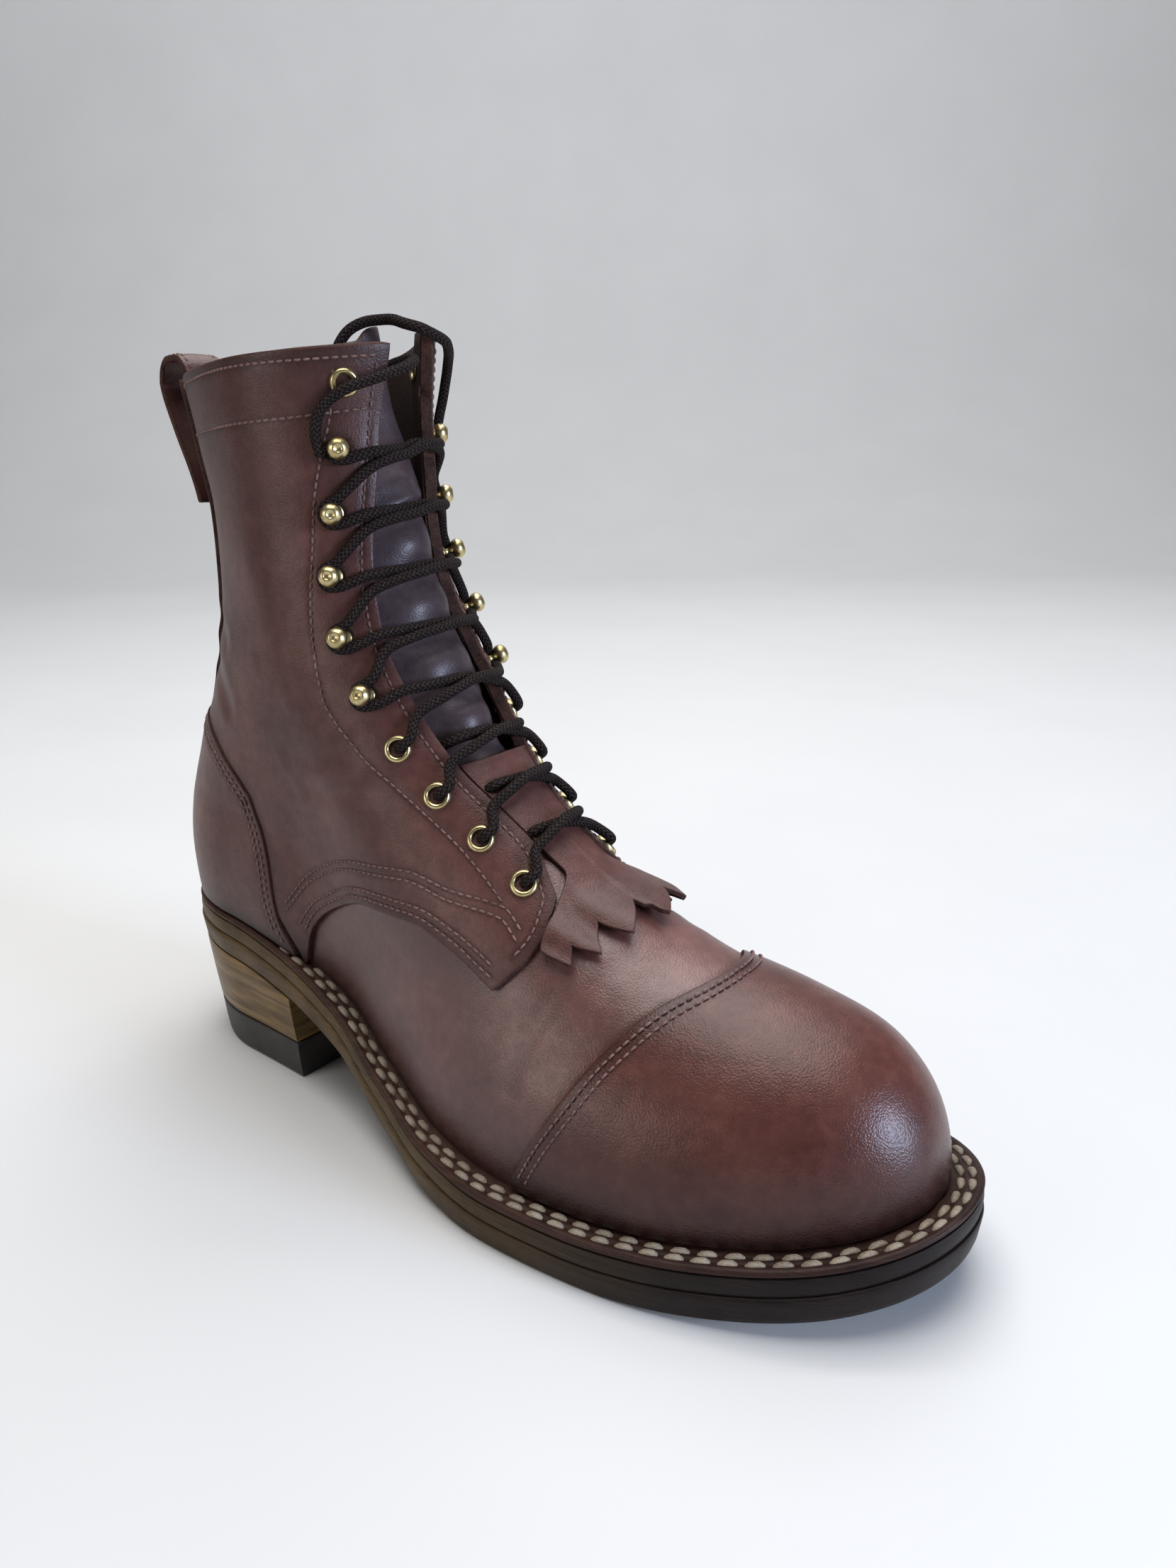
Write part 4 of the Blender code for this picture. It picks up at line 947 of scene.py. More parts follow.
def quarter_grid():
    """Shaft panel: round the counter and along the arch below, collar, facing and nose above."""
    k = QUARTER_STEPS
    top = edge_on_skin(np.array(COUNTER_TOP) + COUNTER_CLEAR, 6 * k + 1)
    front = edge_on_skin(np.array(COUNTER_FRONT[::-1]) + COUNTER_CLEAR, 4 * k + 1)
    arch = edge_on_skin(QUARTER_ARCH, 10 * k + 1)
    step = np.linspace(0, 1, k + 1)[1:-1, None]
    bridge = front[3 * k] * (1 - step) + arch[0] * step
    low = np.concatenate([top, front[1:3 * k + 1], bridge, arch])
    low[0, 0] = BACK_SEAM
    facing_up = np.linspace(1, FACING_FOOT, 8 * k + 1)
    facing = np.array([(turn_from_ridge(u, curve(FACING, 1, u)), u) for u in facing_up])
    nose = edge_on_skin(QUARTER_NOSE[::-1], 4 * k + 1)
    collar_turn = np.linspace(BACK_SEAM, facing[0, 0], 9 * k + 1)
    collar = np.stack([collar_turn, np.ones_like(collar_turn)], -1)
    bridge = facing[-1] * (1 - step) + nose[k] * step
    high = np.concatenate([collar, facing[1:], bridge, nose[k:3 * k + 1]])
    share = np.linspace(0, 1, QUARTER_ROWS)
    low_at = side_view(low[:, 0], low[:, 1])
    high_at = side_view(high[:, 0], high[:, 1])
    at = low_at[:, None] + (high_at - low_at)[:, None] * share[None, :, None]
    seam = side_view(np.full(QUARTER_ROWS, BACK_SEAM), low[0, 1] + (1 - low[0, 1]) * share)
    near_seam = np.linspace(1, 0, len(low)) ** 2
    at = at + near_seam[:, None, None] * (seam - at[0])[None]
    grid = np.stack(turn_at(at[..., 0], at[..., 1]), -1)
    grid[:, -1] = high
    return grid.swapaxes(0, 1)


def cap_grid():
    """Toe cap: from the seam across the vamp to the feather line round the toe."""
    columns = 81
    half = edge_on_skin(CAP_SEAM, columns)
    half[0, 1] = PANEL_FOOT
    half[-1, 0] = np.pi
    seam = np.concatenate([half, half[-2::-1]])
    seam[:columns, 0] -= np.pi
    seam[columns:, 0] = np.pi - seam[columns:, 0]
    foot_turn = np.linspace(seam[0, 0], seam[-1, 0], len(seam))
    foot = np.stack([foot_turn, np.full(len(seam), PANEL_FOOT)], -1)
    v = np.linspace(0, 1, 70)[:, None, None]
    grid = seam[None] * (1 - v) + foot[None] * v
    grid = grid[:, 2:-2]
    grid[..., 0] = np.where(grid[..., 0] < 0, -np.pi - grid[..., 0], np.pi - grid[..., 0])
    return grid


def patch(low, high, left, right):
    """Grid between four edges that meet at their ends, blended from all of them."""
    u = np.linspace(0, 1, len(low))[:, None, None]
    v = np.linspace(0, 1, len(left))[None, :, None]
    ends = (low[0] * (1 - u) * (1 - v) + low[-1] * u * (1 - v)
            + high[0] * (1 - u) * v + high[-1] * u * v)
    return (low[:, None] * (1 - v) + high[:, None] * v
            + left[None] * (1 - u) + right[None] * u - ends)


def counter_grid():
    """Heel counter round the back; its first row is the arched top."""
    rows = 70
    columns = 76
    front = edge_on_skin(COUNTER_FRONT, rows)
    top = edge_on_skin(COUNTER_TOP, columns)
    front[0, 1] = PANEL_FOOT
    front[-1] = top[-1]
    top[0, 0] = 0.0
    low = np.stack([np.linspace(0, front[0, 0], columns), np.full(columns, PANEL_FOOT)], -1)
    seam = np.stack([np.zeros(rows), np.linspace(PANEL_FOOT, top[0, 1], rows)], -1)
    half = np.swapaxes(patch(low, top, seam, front), 0, 1)[::-1]
    other = half[:, :0:-1].copy()
    other[..., 0] *= -1
    return np.concatenate([other, half], axis=1)


class Panel:
    """A panel laid over the skin: its grid, the height of its top and the relief it carries."""

    def __init__(self, grid, side, height):
        self.turn = grid[..., 0] * side
        self.up = np.clip(grid[..., 1], 0, 1)
        self.base = skin(self.turn, self.up)
        self.out = normals(self.turn, self.up)
        self.height = height + relief(self.base)
        self.shade = np.ones(self.turn.shape)

    def top(self):
        return self.base + self.out * self.height[..., None]

    def inset(self, distance, start, end):
        """Line of turn and share up at a distance inside the first row of the grid."""
        points = self.base
        edge = unit(np.gradient(points[0], axis=0))
        inward = unit(points[6] - points[0])
        lean = np.sqrt(np.maximum(1 - np.sum(edge * inward, -1) ** 2, 0.05))
        columns = points.shape[1]
        first, last = int(start * (columns - 1)), int(end * (columns - 1))
        path = []
        for j in range(first, last + 1):
            reach = run_along(points[:, j])
            goal = distance / lean[j]
            path.append([np.interp(goal, reach, way[:, j]) for way in (self.turn, self.up)])
        return np.array(path)

    def row(self, edge, distance, flip=1.0):
        """Line of turn and share up at a distance to the left of an edge, clear of all the borders."""
        flat = skin(edge[:, 0], edge[:, 1])
        along = unit(np.gradient(flat, axis=0))
        left = unit(np.cross(normals(edge[:, 0], edge[:, 1]), along)) * flip
        goal = flat + left * distance
        base = self.base.reshape(-1, 3)
        loop, _ = border(*self.turn.shape)
        goal = goal[nearest(goal, base[loop]) > 0.9 * distance]
        tree = tree_of(base)
        turn = self.turn.ravel()
        up = self.up.ravel()
        path = []
        for place in goal:
            found = tree.find_n(place, 6)
            number = [f[1] for f in found]
            weight = np.array([1 / (f[2] + 0.05) ** 2 for f in found])
            path.append((np.sum(turn[number] * weight), np.sum(up[number] * weight)) / np.sum(weight))
        return softened(np.array(path), 6)


def softened(path, passes):
    """Line of points smoothed between its ends."""
    for _ in range(passes):
        path[1:-1] = (path[:-2] + 2 * path[1:-1] + path[2:]) / 4
    return path


# Lines of thread as points and outward directions, four steps to a stitch
STITCHES = []


def keep_stitches(line, out, count):
    even = evenly(np.column_stack([line, out]), 4 * count + 1)
    STITCHES.append((even[:, :3], unit(even[:, 3:])))


def sew(panel, path, height, side=None):
    """Row of stitches along a path of turn and share up on a panel; presses a faint line into it and paints
    shade along it.
    """
    turn = path[:, 0] if side is None else np.abs(path[:, 0]) * side
    flat = skin(turn, path[:, 1])
    out = normals(turn, path[:, 1])
    line = flat + out * (height + relief(flat))[:, None]
    length = length_of(line)
    keep_stitches(line, out, max(int(length / STITCH_PITCH), 2))
    near = nearest(panel.base, evenly(flat, int(length / 0.8)))
    panel.height = panel.height - SEAM_SINK * np.exp(-(near / SEAM_WIDTH) ** 2)
    # Painted shade along the pressed line
    panel.shade = panel.shade * (1 - SEAM_SHADE * np.exp(-near ** 2))


def burnish(panel, reach=3.0):
    """Darken a panel towards its edges."""
    loop, _ = border(*panel.turn.shape)
    edge = panel.base.reshape(-1, 3)[loop]
    near = nearest(panel.base, edge)
    panel.shade = panel.shade * (1 - BURNISH * np.exp(-(near / reach) ** 2))


def painted_welt_shadow_darker_collar(points):
    """Painted shadow on the leather close to the welt, and the leather darker towards the collar."""
    x = points[..., 0]
    z = points[..., 2]
    by_welt = 1 - WELT_PAINTED_SHADOW * np.exp(-np.maximum(z - feather(x), 0) / WELT_PAINTED_SHADOW_RUN)
    return by_welt * (1 - COLLAR_DARKENING * ease(*COLLAR_DARKENING_SPAN, z))


def add_panel(name, panel, thickness, finish, node):
    """Mesh of a panel with its cut edge reaching down to the leather below."""
    points, faces, numbers = sheet(panel.top(), panel.out, thickness, EDGE_ROUND,
                                   thickness + OVERLAY_GAP + 1.6)
    shade = np.ones(len(points))
    # Painted shadow by the welt and a darker collar, times the seams' painted shade and the burnished edges
    tone = panel.shade * painted_welt_shadow_darker_collar(panel.base)
    shade[:tone.size] = tone.ravel()
    piece(name, points, faces, [finish, EDGE], numbers, shade=shade, nodes=(node,))


def add_sheet(node, top, outward, thickness, round_off, finishes):
    """Loose sheet that stands for a node: its finishes are those of the top, the edge and the underside."""
    points, faces, numbers = sheet(top, outward, thickness, round_off)
    piece(node + "_dressed", points, faces, finishes, numbers, nodes=(node,))


def add_vamp():
    """Vamp: the smooth leather between the cap, the quarters and the flange."""
    half_turn = np.linspace(VAMP_START, np.pi, 150)
    turn = np.concatenate([half_turn, 2 * np.pi - half_turn[-2::-1]])
    up = np.linspace(0.0, FACING_FOOT, 84)
    turn, up = np.meshgrid(turn, up)
    base = skin(turn, up)
    out = normals(turn, up)
    height = relief(base) - SINK * under_panels(base)
    top = base + out * height[..., None]
    top[0, :, 2] -= 1.2
    faces = grid_faces(*turn.shape)
    if inside_out(top.reshape(-1, 3), faces, out.reshape(-1, 3)):
        faces = faces[:, ::-1]
    # Painted shadow by the welt and a darker collar, and a painted highlight: upward-facing vamp leather
    # made lighter
    tone = painted_welt_shadow_darker_collar(base) * (1 + 0.45 * np.clip(out[..., 2], 0, 1))
    piece("vamp", top.reshape(-1, 3), faces, [VAMP_LEATHER], shade=tone.ravel())


def add_shell():
    """Wall behind the panels with the lining inside, open at the collar, the throat and underneath."""
    rows = 64
    back_columns = 60
    front_columns = 10
    low_rows = 24
    low = np.linspace(0, THROAT_ROW, low_rows + 1)
    up = np.concatenate([low, np.linspace(THROAT_ROW, 1, rows - low_rows)[1:]])
    edge = np.array([turn_from_ridge(u, curve(FACING, 1, u)) for u in up])
    back = np.linspace(0, 1, back_columns)[None, :] * edge[:, None]
    front = edge[:, None] + np.linspace(0, 1, front_columns + 1)[None, 1:] * (np.pi - edge)[:, None]
    half = np.concatenate([back, front], axis=1)
    turn = np.concatenate([-half[:, :0:-1], half], axis=1)
    up = np.broadcast_to(up[:, None], turn.shape)
    outer = skin(turn, up)
    out = normals(turn, up)
    inner = outer - out * (WALL + 0.25 * relief(outer))[..., None]
    middle = centre(outer[..., 0])
    side = np.sign(outer[..., 1] - middle)
    reach = np.abs(outer[..., 1] - middle)
    y = np.maximum(side * (inner[..., 1] - middle), 0.2 * reach) * side
    inner[..., 1] = np.where(reach > 1e-6, middle + y, inner[..., 1])
    outer = outer + (inner - outer) * 0.55
    shape = turn.shape
    number = np.arange(turn.size).reshape(shape)
    keep = np.ones((shape[0] - 1, shape[1] - 1), bool)
    keep[low_rows:, :front_columns] = False
    keep[low_rows:, -front_columns:] = False
    squares = grid_faces(*shape).reshape(*keep.shape, 4)[keep]
    faces = [squares, squares[:, ::-1] + turn.size]
    numbers = [np.ones(len(squares), int), np.zeros(len(squares), int)]
    rims = [number[-1, front_columns:shape[1] - front_columns],
            number[low_rows:, front_columns], number[low_rows:, -front_columns - 1]]
    for rim in rims:
        a, b = rim[:-1], rim[1:]
        faces.append(np.stack([a, b, b + turn.size, a + turn.size], -1))
        numbers.append(np.ones(len(a), int))
    points = np.concatenate([outer.reshape(-1, 3), inner.reshape(-1, 3)])
    piece("upper_wall", points, np.concatenate(faces), [LINING, EDGE], np.concatenate(numbers),
          nodes=("upper",))


def add_back_strip():
    """Strip over the back seam from the counter to the collar."""
    x, z = COUNTER_TOP[0]
    start = float(turn_at(np.array(x), np.array(z - STRIP_LAP))[1])
    ups = np.linspace(start, 1, 100)
    turns = np.linspace(0, 1.2, 300)
    share = np.linspace(-1, 1, 26)
    turn = []
    for u in ups:
        reach = np.abs(skin(turns, np.full_like(turns, u))[:, 1] - centre(BACK[-1, 1]))
        turn.append(np.interp(share * BACK_STRIP_HALF, np.concatenate([-reach[:0:-1], reach]),
                              np.concatenate([-turns[:0:-1], turns])))
    grid = np.stack([np.array(turn), np.broadcast_to(ups[:, None], (len(ups), len(share)))], -1)
    panel = Panel(grid, 1, STRIP_TOP)
    for column in (3, 22):
        sew(panel, grid[:, column], STRIP_TOP)
    burnish(panel, 2.0)
    add_panel("back_strip_dressed", panel, STRIP_THICKNESS + 1.2, LEATHER, "back_strip")


def add_pull_loop():
    """Leather loop sewn to the back strip, standing off the back of the collar."""
    path = smooth_path(LOOP_PATH, 90)
    path[:, 0] += np.interp(path[:, 1], SEAM_Z, SEAM_X)
    along = unit(np.gradient(path, axis=0))
    off = np.stack([-along[:, 1], along[:, 0]], -1)
    width = np.linspace(-1, 1, 22)
    top = np.zeros((len(path), len(width), 3))
    bow = 0.5 * (1 - width ** 2)[None, :]
    half = LOOP_THICKNESS / 2
    top[..., 0] = (path[:, 0] + off[:, 0] * half)[:, None] + off[:, 0, None] * bow
    top[..., 1] = width[None, :] * LOOP_HALF_WIDTH
    top[..., 2] = (path[:, 1] + off[:, 1] * half)[:, None] + off[:, 1, None] * bow
    outward = np.stack([off[:, 0], 0 * off[:, 0], off[:, 1]], -1)[:, None] * np.ones((1, len(width), 1))
    add_sheet("pull_loop", top, outward, LOOP_THICKNESS, 0.6, [LEATHER, EDGE, LEATHER])
    for column in (2, -3):
        keep_stitches(top[2:-2, column], outward[2:-2, column], 26)


def add_tongue():
    """Tongue behind the facings: it swells between the crossings and leans back at the collar."""
    ups = np.linspace(TONGUE[0, 0], TONGUE[-1, 0], 190)
    share = np.linspace(-1, 1, 72)
    turn, up = front_grid(np.repeat(share[None] * TONGUE_HALF, len(ups), axis=0), ups)
    edge = curve(TONGUE, 1, up)
    middle = curve(TONGUE, 2, up)
    facing = curve(FACING, 1, up) / TONGUE_HALF
    crown = 1 - ease(0.25 * facing, 0.95 * facing, np.abs(share)[None])
    rows = lacing_rows(-1)[1]
    count = np.interp(up, rows, np.arange(ROWS))
    roll = np.cos(2 * np.pi * (count - 0.30)) * ease(0.36, 0.44, up) * (1 - ease(0.80, 0.86, up))
    fold = np.exp(-((up - TONGUE_FOLD_UP - 0.012 * share) / 0.012) ** 2)
    depth = edge + (middle - edge) * crown - TONGUE_SWELL * roll * crown - TONGUE_FOLD * fold * crown
    depth = depth + 0.3 * np.sin(share * 11 + up * 60) * crown
    top = skin(turn, up) - normals(turn, up, 0.0) * depth[..., None]
    for _ in range(60):
        top[:, 1:-1] = 0.25 * top[:, :-2] + 0.5 * top[:, 1:-1] + 0.25 * top[:, 2:]
    add_sheet("tongue", top, normals(turn, up), TONGUE_THICKNESS, 0.6, [TONGUE_LEATHER, EDGE, LINING])


def add_kiltie():
    """Fringe over the vamp: its lower edge is cut in teeth and stands off in a few waves."""
    per_side = 8
    rows = 60
    corner = np.arange(len(KILTIE_EDGE))
    step = np.linspace(0, corner[-1], corner[-1] * per_side + 1)
    share = np.clip(KILTIE_EDGE[:, 0] / curve(KILTIE, 1, KILTIE_EDGE[:, 1]), -1, 1)
    share = np.interp(step, corner, share)
    low = np.interp(step, corner, KILTIE_EDGE[:, 1])
    rise = (np.linspace(0, 1, rows) ** 1.3)[:, None]
    up = low * (1 - rise) + KILTIE_TOP * rise
    between = ease(*KILTIE_TUCK, up)
    reach = (1 - between) * curve(KILTIE, 1, up) + between * (curve(FACING, 1, up) - 1.3)
    distance = share * reach
    turn = np.array([across_front(row, ups) for row, ups in zip(distance, up)])
    loose = 1 - ease(0.270, 0.335, up)
    wave = curve(KILTIE_LIFT, 1, distance) + 0.25 * np.sin(distance / 2.6 + up * 60)
    valley = np.exp(-((distance + 17.5 - 60 * (up - 0.30)) / 3.4) ** 2)
    valley = valley * ease(0.27, 0.285, up) * (1 - between)
    height = OVERLAY_GAP + KILTIE_THICKNESS + loose * (0.8 + wave) - 0.9 * valley
    height = np.maximum(height, KILTIE_THICKNESS + 0.1) - 0.7 * ease(0.33, 0.37, up)
    add_sheet("kiltie", raised(turn, up, height), normals(turn, up), KILTIE_THICKNESS, 0.35,
              [LEATHER, EDGE, EDGE])


def capsules(name, spots, stitch, finish, sides=6):
    """Small stitches: each spot is a place, a direction along and a direction out of the surface."""
    length, width, height = stitch
    t = np.array((-1.0, -0.86, -0.45, 0.0, 0.45, 0.86, 1.0))
    size = np.sqrt(np.maximum(1 - t ** 4, 0.02))
    dip = -0.55 * np.abs(t) ** 3
    angle = np.arange(sides) / sides * 2 * np.pi
    points = []
    faces = []
    body = grid_faces(len(t), sides, wrap=True)
    for k, (place, along, out) in enumerate(spots):
        across = np.cross(out, along)
        rings = (place + along * (t * length / 2)[:, None, None] + out * (dip * height)[:, None, None]
                 + across * (size[:, None] * np.cos(angle) * width / 2)[..., None]
                 + out * (size[:, None] * np.sin(angle) * height / 2)[..., None])
        points.append(rings.reshape(-1, 3))
        faces.append(body + k * len(t) * sides)
    piece(name, np.concatenate(points), np.concatenate(faces), [finish])


def add_stitches():
    """Thread of every sewn line, one stitch after another with a short gap between."""
    spots = []
    for line, out in STITCHES:
        along = unit(np.gradient(line, axis=0))
        for k in range(2, len(line) - 1, 4):
            n = unit(out[k] - along[k] * np.dot(out[k], along[k]))
            spots.append((line[k] + n * STITCH_LIFT, along[k], n))
    capsules("seam_stitches", spots, STITCH_SIZE, THREAD)


def stations(start, end, count, open_end=False):
    """Places along the sole, closer together at its rounded ends."""
    reach = np.pi / 2 if open_end else np.pi
    k = np.linspace(0, reach, count)
    share = 1 - np.cos(k)
    return start + (end - start) * share / share[-1]


def loop_of(x, half, height):
    """Closed loop of points: the outer side forward, the inner side back."""
    outer = np.stack([x, centre(x) - half, height], -1)
    inner = np.stack([x, centre(x) + half, height], -1)
    return np.concatenate([outer, inner[::-1]])


def stack(node, finish, rings, hollow=False, sharp=45):
    """Piece for a node through rings of equal count; hollow joins the last ring to the first."""
    count = len(rings[0])
    points = np.concatenate(rings)
    faces = [grid_faces(len(rings), count, wrap=True)]
    k = np.arange(count)
    last = (len(rings) - 1) * count
    if hollow:
        faces.append(np.stack([last + k, last + (k + 1) % count, (k + 1) % count, k], -1))
    else:
        k = np.arange(count // 2 - 1)
        far = count - 1 - k
        faces.append(np.stack([k, far, far - 1, k + 1], -1))
        faces.append(np.stack([last + k, last + k + 1, last + far - 1, last + far], -1))
    piece(node + "_dressed", points, np.concatenate(faces), [finish], nodes=(node,),
          sharp=sharp)


def level(inset, surface, rise=0.0):
    """Ring round the sole at an even inset and a height over one of its surfaces."""
    x = stations(inset, LENGTH - inset, SOLE_STATIONS)
    return loop_of(x, outline(x, inset, inset, inset), surface(x) + rise)


def flange_ring(inset, drop, count=SOLE_STATIONS):
    """Ring on top of the flange, kept from running further in than the upper's foot."""
    foot = WALL + 0.2
    heel = min(inset, HEEL_FLANGE + foot)
    toe = min(inset, TOE_FLANGE + foot)
    x = stations(heel, LENGTH - toe, count)
    inset_here = np.minimum(inset, curve(FLANGE, 1, x) + foot)
    return loop_of(x, outline(x, inset_here, heel, toe), sole_top(x) - drop)


def outsole_side(x):
    return (tread(x) + outsole_top(x)) / 2


# Inset, surface and height over it, for the rings from the bottom up
WELT_EDGE_RINGS = ((0.9, flange_bottom, 0.0), (0.45, sole_top, -1.7), (0.35, sole_top, -1.1),
                   (0.65, sole_top, -0.45), (1.3, sole_top, -0.08))
MIDSOLE_RINGS = ((1.0, midsole_bottom, 0.0), (0.6, midsole_bottom, 0.25), (0.4, midsole_bottom, 1.2),
                 (0.3, midsole_top, -MIDSOLE_THICKNESS / 2), (0.4, midsole_top, -1.2),
                 (0.6, midsole_top, -0.25), (1.0, midsole_top, 0.0))
OUTSOLE_RINGS = ((2.4, tread, 0.0), (1.3, tread, 0.5), (0.8, tread, 2.0), (0.3, outsole_side, 1.0),
                 (0.0, outsole_top, -1.2), (0.2, outsole_top, -0.4), (0.7, outsole_top, 0.0))

# Distance from a row of welt thread and depth, across its groove
GROOVE = ((-1.2, 0.02), (-0.6, 0.30), (0.0, 0.50), (0.6, 0.30), (1.2, 0.02))


def add_sole():
    """Stitched flange, midsole, outsole and insole."""
    rings = [level(*ring) for ring in WELT_EDGE_RINGS]
    rings.append(flange_ring(2.2, 0.0))
    for row in (WELT_ROW_OUTER, WELT_ROW_INNER):
        rings += [flange_ring(row + aside, depth) for aside, depth in GROOVE]
    rings += [flange_ring(20.0, 0.0), flange_ring(20.0, FLANGE_THICKNESS)]
    stack("welt", WELT_EDGE, rings, hollow=True, sharp=60)
    stack("midsole", SOLE_EDGE, [level(*ring) for ring in MIDSOLE_RINGS])
    stack("outsole", SOLE_EDGE, [level(*ring) for ring in OUTSOLE_RINGS])
    hollow = WALL + 1.2
    heel = HEEL_FLANGE + hollow
    toe = TOE_FLANGE + hollow
    x = stations(heel, LENGTH - toe, 80)
    inset = curve(FLANGE, 1, x) + hollow
    rings = [loop_of(x, outline(x, inset + more, heel, toe), midsole_top(x) + GAP + rise)
             for more, rise in ((0.0, 0.0), (0.0, INSOLE_THICKNESS - 0.8), (1.0, INSOLE_THICKNESS))]
    stack("insole", INSOLE_LEATHER, rings)


def heel_ring(share, inset_by, floor, high):
    """Ring of the heel block: share runs from 0 at its top to 1 on the floor.

    Its height is floor plus the share high of the way from there to the outsole.
    """
    inset = 1.2 + HEEL_TAPER * share + inset_by
    x = stations(inset, HEEL_BREAST - 1.5 * share - inset_by, 90, open_end=True)
    half = (curve(SOLE, 1, x) - 0.9 - 4.4 * share - inset_by) * rounded(x - inset, HEEL_ROUND - inset)
    return loop_of(x, half, floor * (1 - high) + (tread(x) - GAP) * high)


# Share of the taper, inset and height (as a share of the stack, or in millimetres) from the bottom up
HEEL_RINGS = ((0.62, 0.9, 0.01), (0.61, 0.35, 0.03), (0.58, 0.0, 0.08), (0.42, 0.0, 0.3),
              (0.28, 0.0, 0.52), (0.13, 0.0, 0.76), (0.02, 0.0, 0.96), (0.0, 0.4, 1.0))
TOPLIFT_RINGS = ((1.0, 0.8, 0.0), (0.98, 0.2, 0.6), (0.94, 0.0, 1.8), (0.8, 0.0, 7.0),
                 (0.66, 0.0, TOPLIFT_THICKNESS - 1.0), (0.64, 0.3, TOPLIFT_THICKNESS - 0.3),
                 (0.62, 0.8, TOPLIFT_THICKNESS))


def add_heel():
    """Stacked heel and its top lift, with a fine groove between them."""
    rings = [heel_ring(share, inset, TOPLIFT_THICKNESS, high) for share, inset, high in HEEL_RINGS]
    stack("heel_stack", HEEL, rings, sharp=50)
    rings = [heel_ring(share, inset, height, 0.0) for share, inset, height in TOPLIFT_RINGS]
    stack("heel_toplift", RUBBER, rings, sharp=50)


def add_welt_stitches():
    """Two rows of chunky thread on the flange, from the waist round the toe."""
    for name, row, start, pitch in (("welt_stitch_outer", WELT_ROW_OUTER, 72.0, 7.2),
                                    ("welt_stitch_inner", WELT_ROW_INNER, 88.0, 7.4)):
        loop = flange_ring(row, 0.35, 900)
        loop = loop[loop[:, 0] > start]
        loop = evenly(loop, int(length_of(loop) / pitch) * 2 + 1)
        along = unit(np.gradient(loop, axis=0))
        spots = []
        for k in range(1, len(loop), 2):
            out = unit(np.cross(np.array((-along[k, 1], along[k, 0], 0.0)), -along[k]))
            out = out if out[2] > 0 else -out
            side = np.cross(out, along[k])
            lean = unit(along[k] + side * 0.10)
            spots.append((loop[k] + out * WELT_STITCH_LIFT, lean, out))
        capsules(name, spots, WELT_STITCH_SIZE, WELT_THREAD, sides=10)


def lathe(profile, place, out, steps=30):
    """Points and faces of a turned piece standing on a point of the surface."""
    out = np.asarray(out, float)
    aside = unit(np.cross(out, (0.0, 0.3, 1.0)))
    other = np.cross(out, aside)
    angle = np.arange(steps) / steps * 2 * np.pi
    spokes = np.cos(angle)[:, None] * aside + np.sin(angle)[:, None] * other
    profile = np.asarray(profile, float)
    points = place + profile[:, 0, None, None] * spokes[None] + profile[:, 1, None, None] * out
    return points.reshape(-1, 3), grid_faces(len(profile), steps, wrap=True)[:, ::-1]


def arc(start, end, count):
    angle = np.radians(np.linspace(start, end, count))
    return np.stack([np.cos(angle), np.sin(angle)], -1)


# Radius and height along the turned profiles, from the surface of the leather
HOOK_FACE = ((0.02, 7.15), (0.9, 7.12), (1.05, 7.28), (1.35, 7.42))
HOOK_STEM = ((1.45, 2.1), (1.45, 1.0), (2.0, 0.75), (3.0, 0.55), (3.3, 0.2), (3.3, -0.6))
HOOK_SEAT = ((3.4, -0.5), (3.6, 0.12), (4.1, 0.22), (4.7, 0.10), (5.1, -0.4))
EYELET_BARREL = ((1.5, -4.4), (1.0, -4.9), (0.4, -4.8), (0.05, -4.3), (0.05, -0.6))
EYELET_WELL = ((EYELET_HOLE, -1.2), (0.02, -1.3))


def add_hardware():
    """Brass in two rows: eyelets with a dark disc in the hole for painted shade, and ball hooks each in a
    pressed ring of leather.
    """
    rim = (EYELET_RADIUS - EYELET_HOLE) / 2
    roll = arc(180, 0, 15) * (rim, 1.35) + (EYELET_HOLE + rim, 0.0)
    barrel = np.array(EYELET_BARREL) + (EYELET_HOLE, 0.0)
    eyelet = np.concatenate([barrel, roll, [(EYELET_RADIUS, -0.5)]])
    ball = arc(62, -58, 18) * (3.3, 2.75) + (0.0, 5.0)
    hook = np.concatenate([HOOK_FACE, ball, HOOK_STEM])
    for word, side in (("outer", -1), ("inner", 1)):
        turns, ups = lacing_rows(side)
        flat = skin(turns, ups)
        out = normals(turns, ups)
        places = flat + out * (PANEL_TOP + relief(flat))[:, None]
        for row in range(ROWS):
            hooked = row in HOOK_ROWS
            points, faces = lathe(hook if hooked else eyelet, places[row], out[row])
            if not hooked:
                faces = faces[:, ::-1]
            name = f"{'hook' if hooked else 'eyelet'}_{word}_{row + 1}"
            piece(name + "_brass", points, faces, [BRASS], nodes=(name,))
            # Dark disc in each eyelet's hole: painted shade
            points, faces = lathe(HOOK_SEAT if hooked else EYELET_WELL, places[row], out[row])
            piece(name + ("_seat" if hooked else "_well"), points, faces, [EDGE if hooked else HOLE_SHADE])


def part_way(at, start, end, first, last):
    """Straight blend from the first point at start to the last at end."""
    span = end - start
    return (end - at) / span * first + (at - start) / span * last


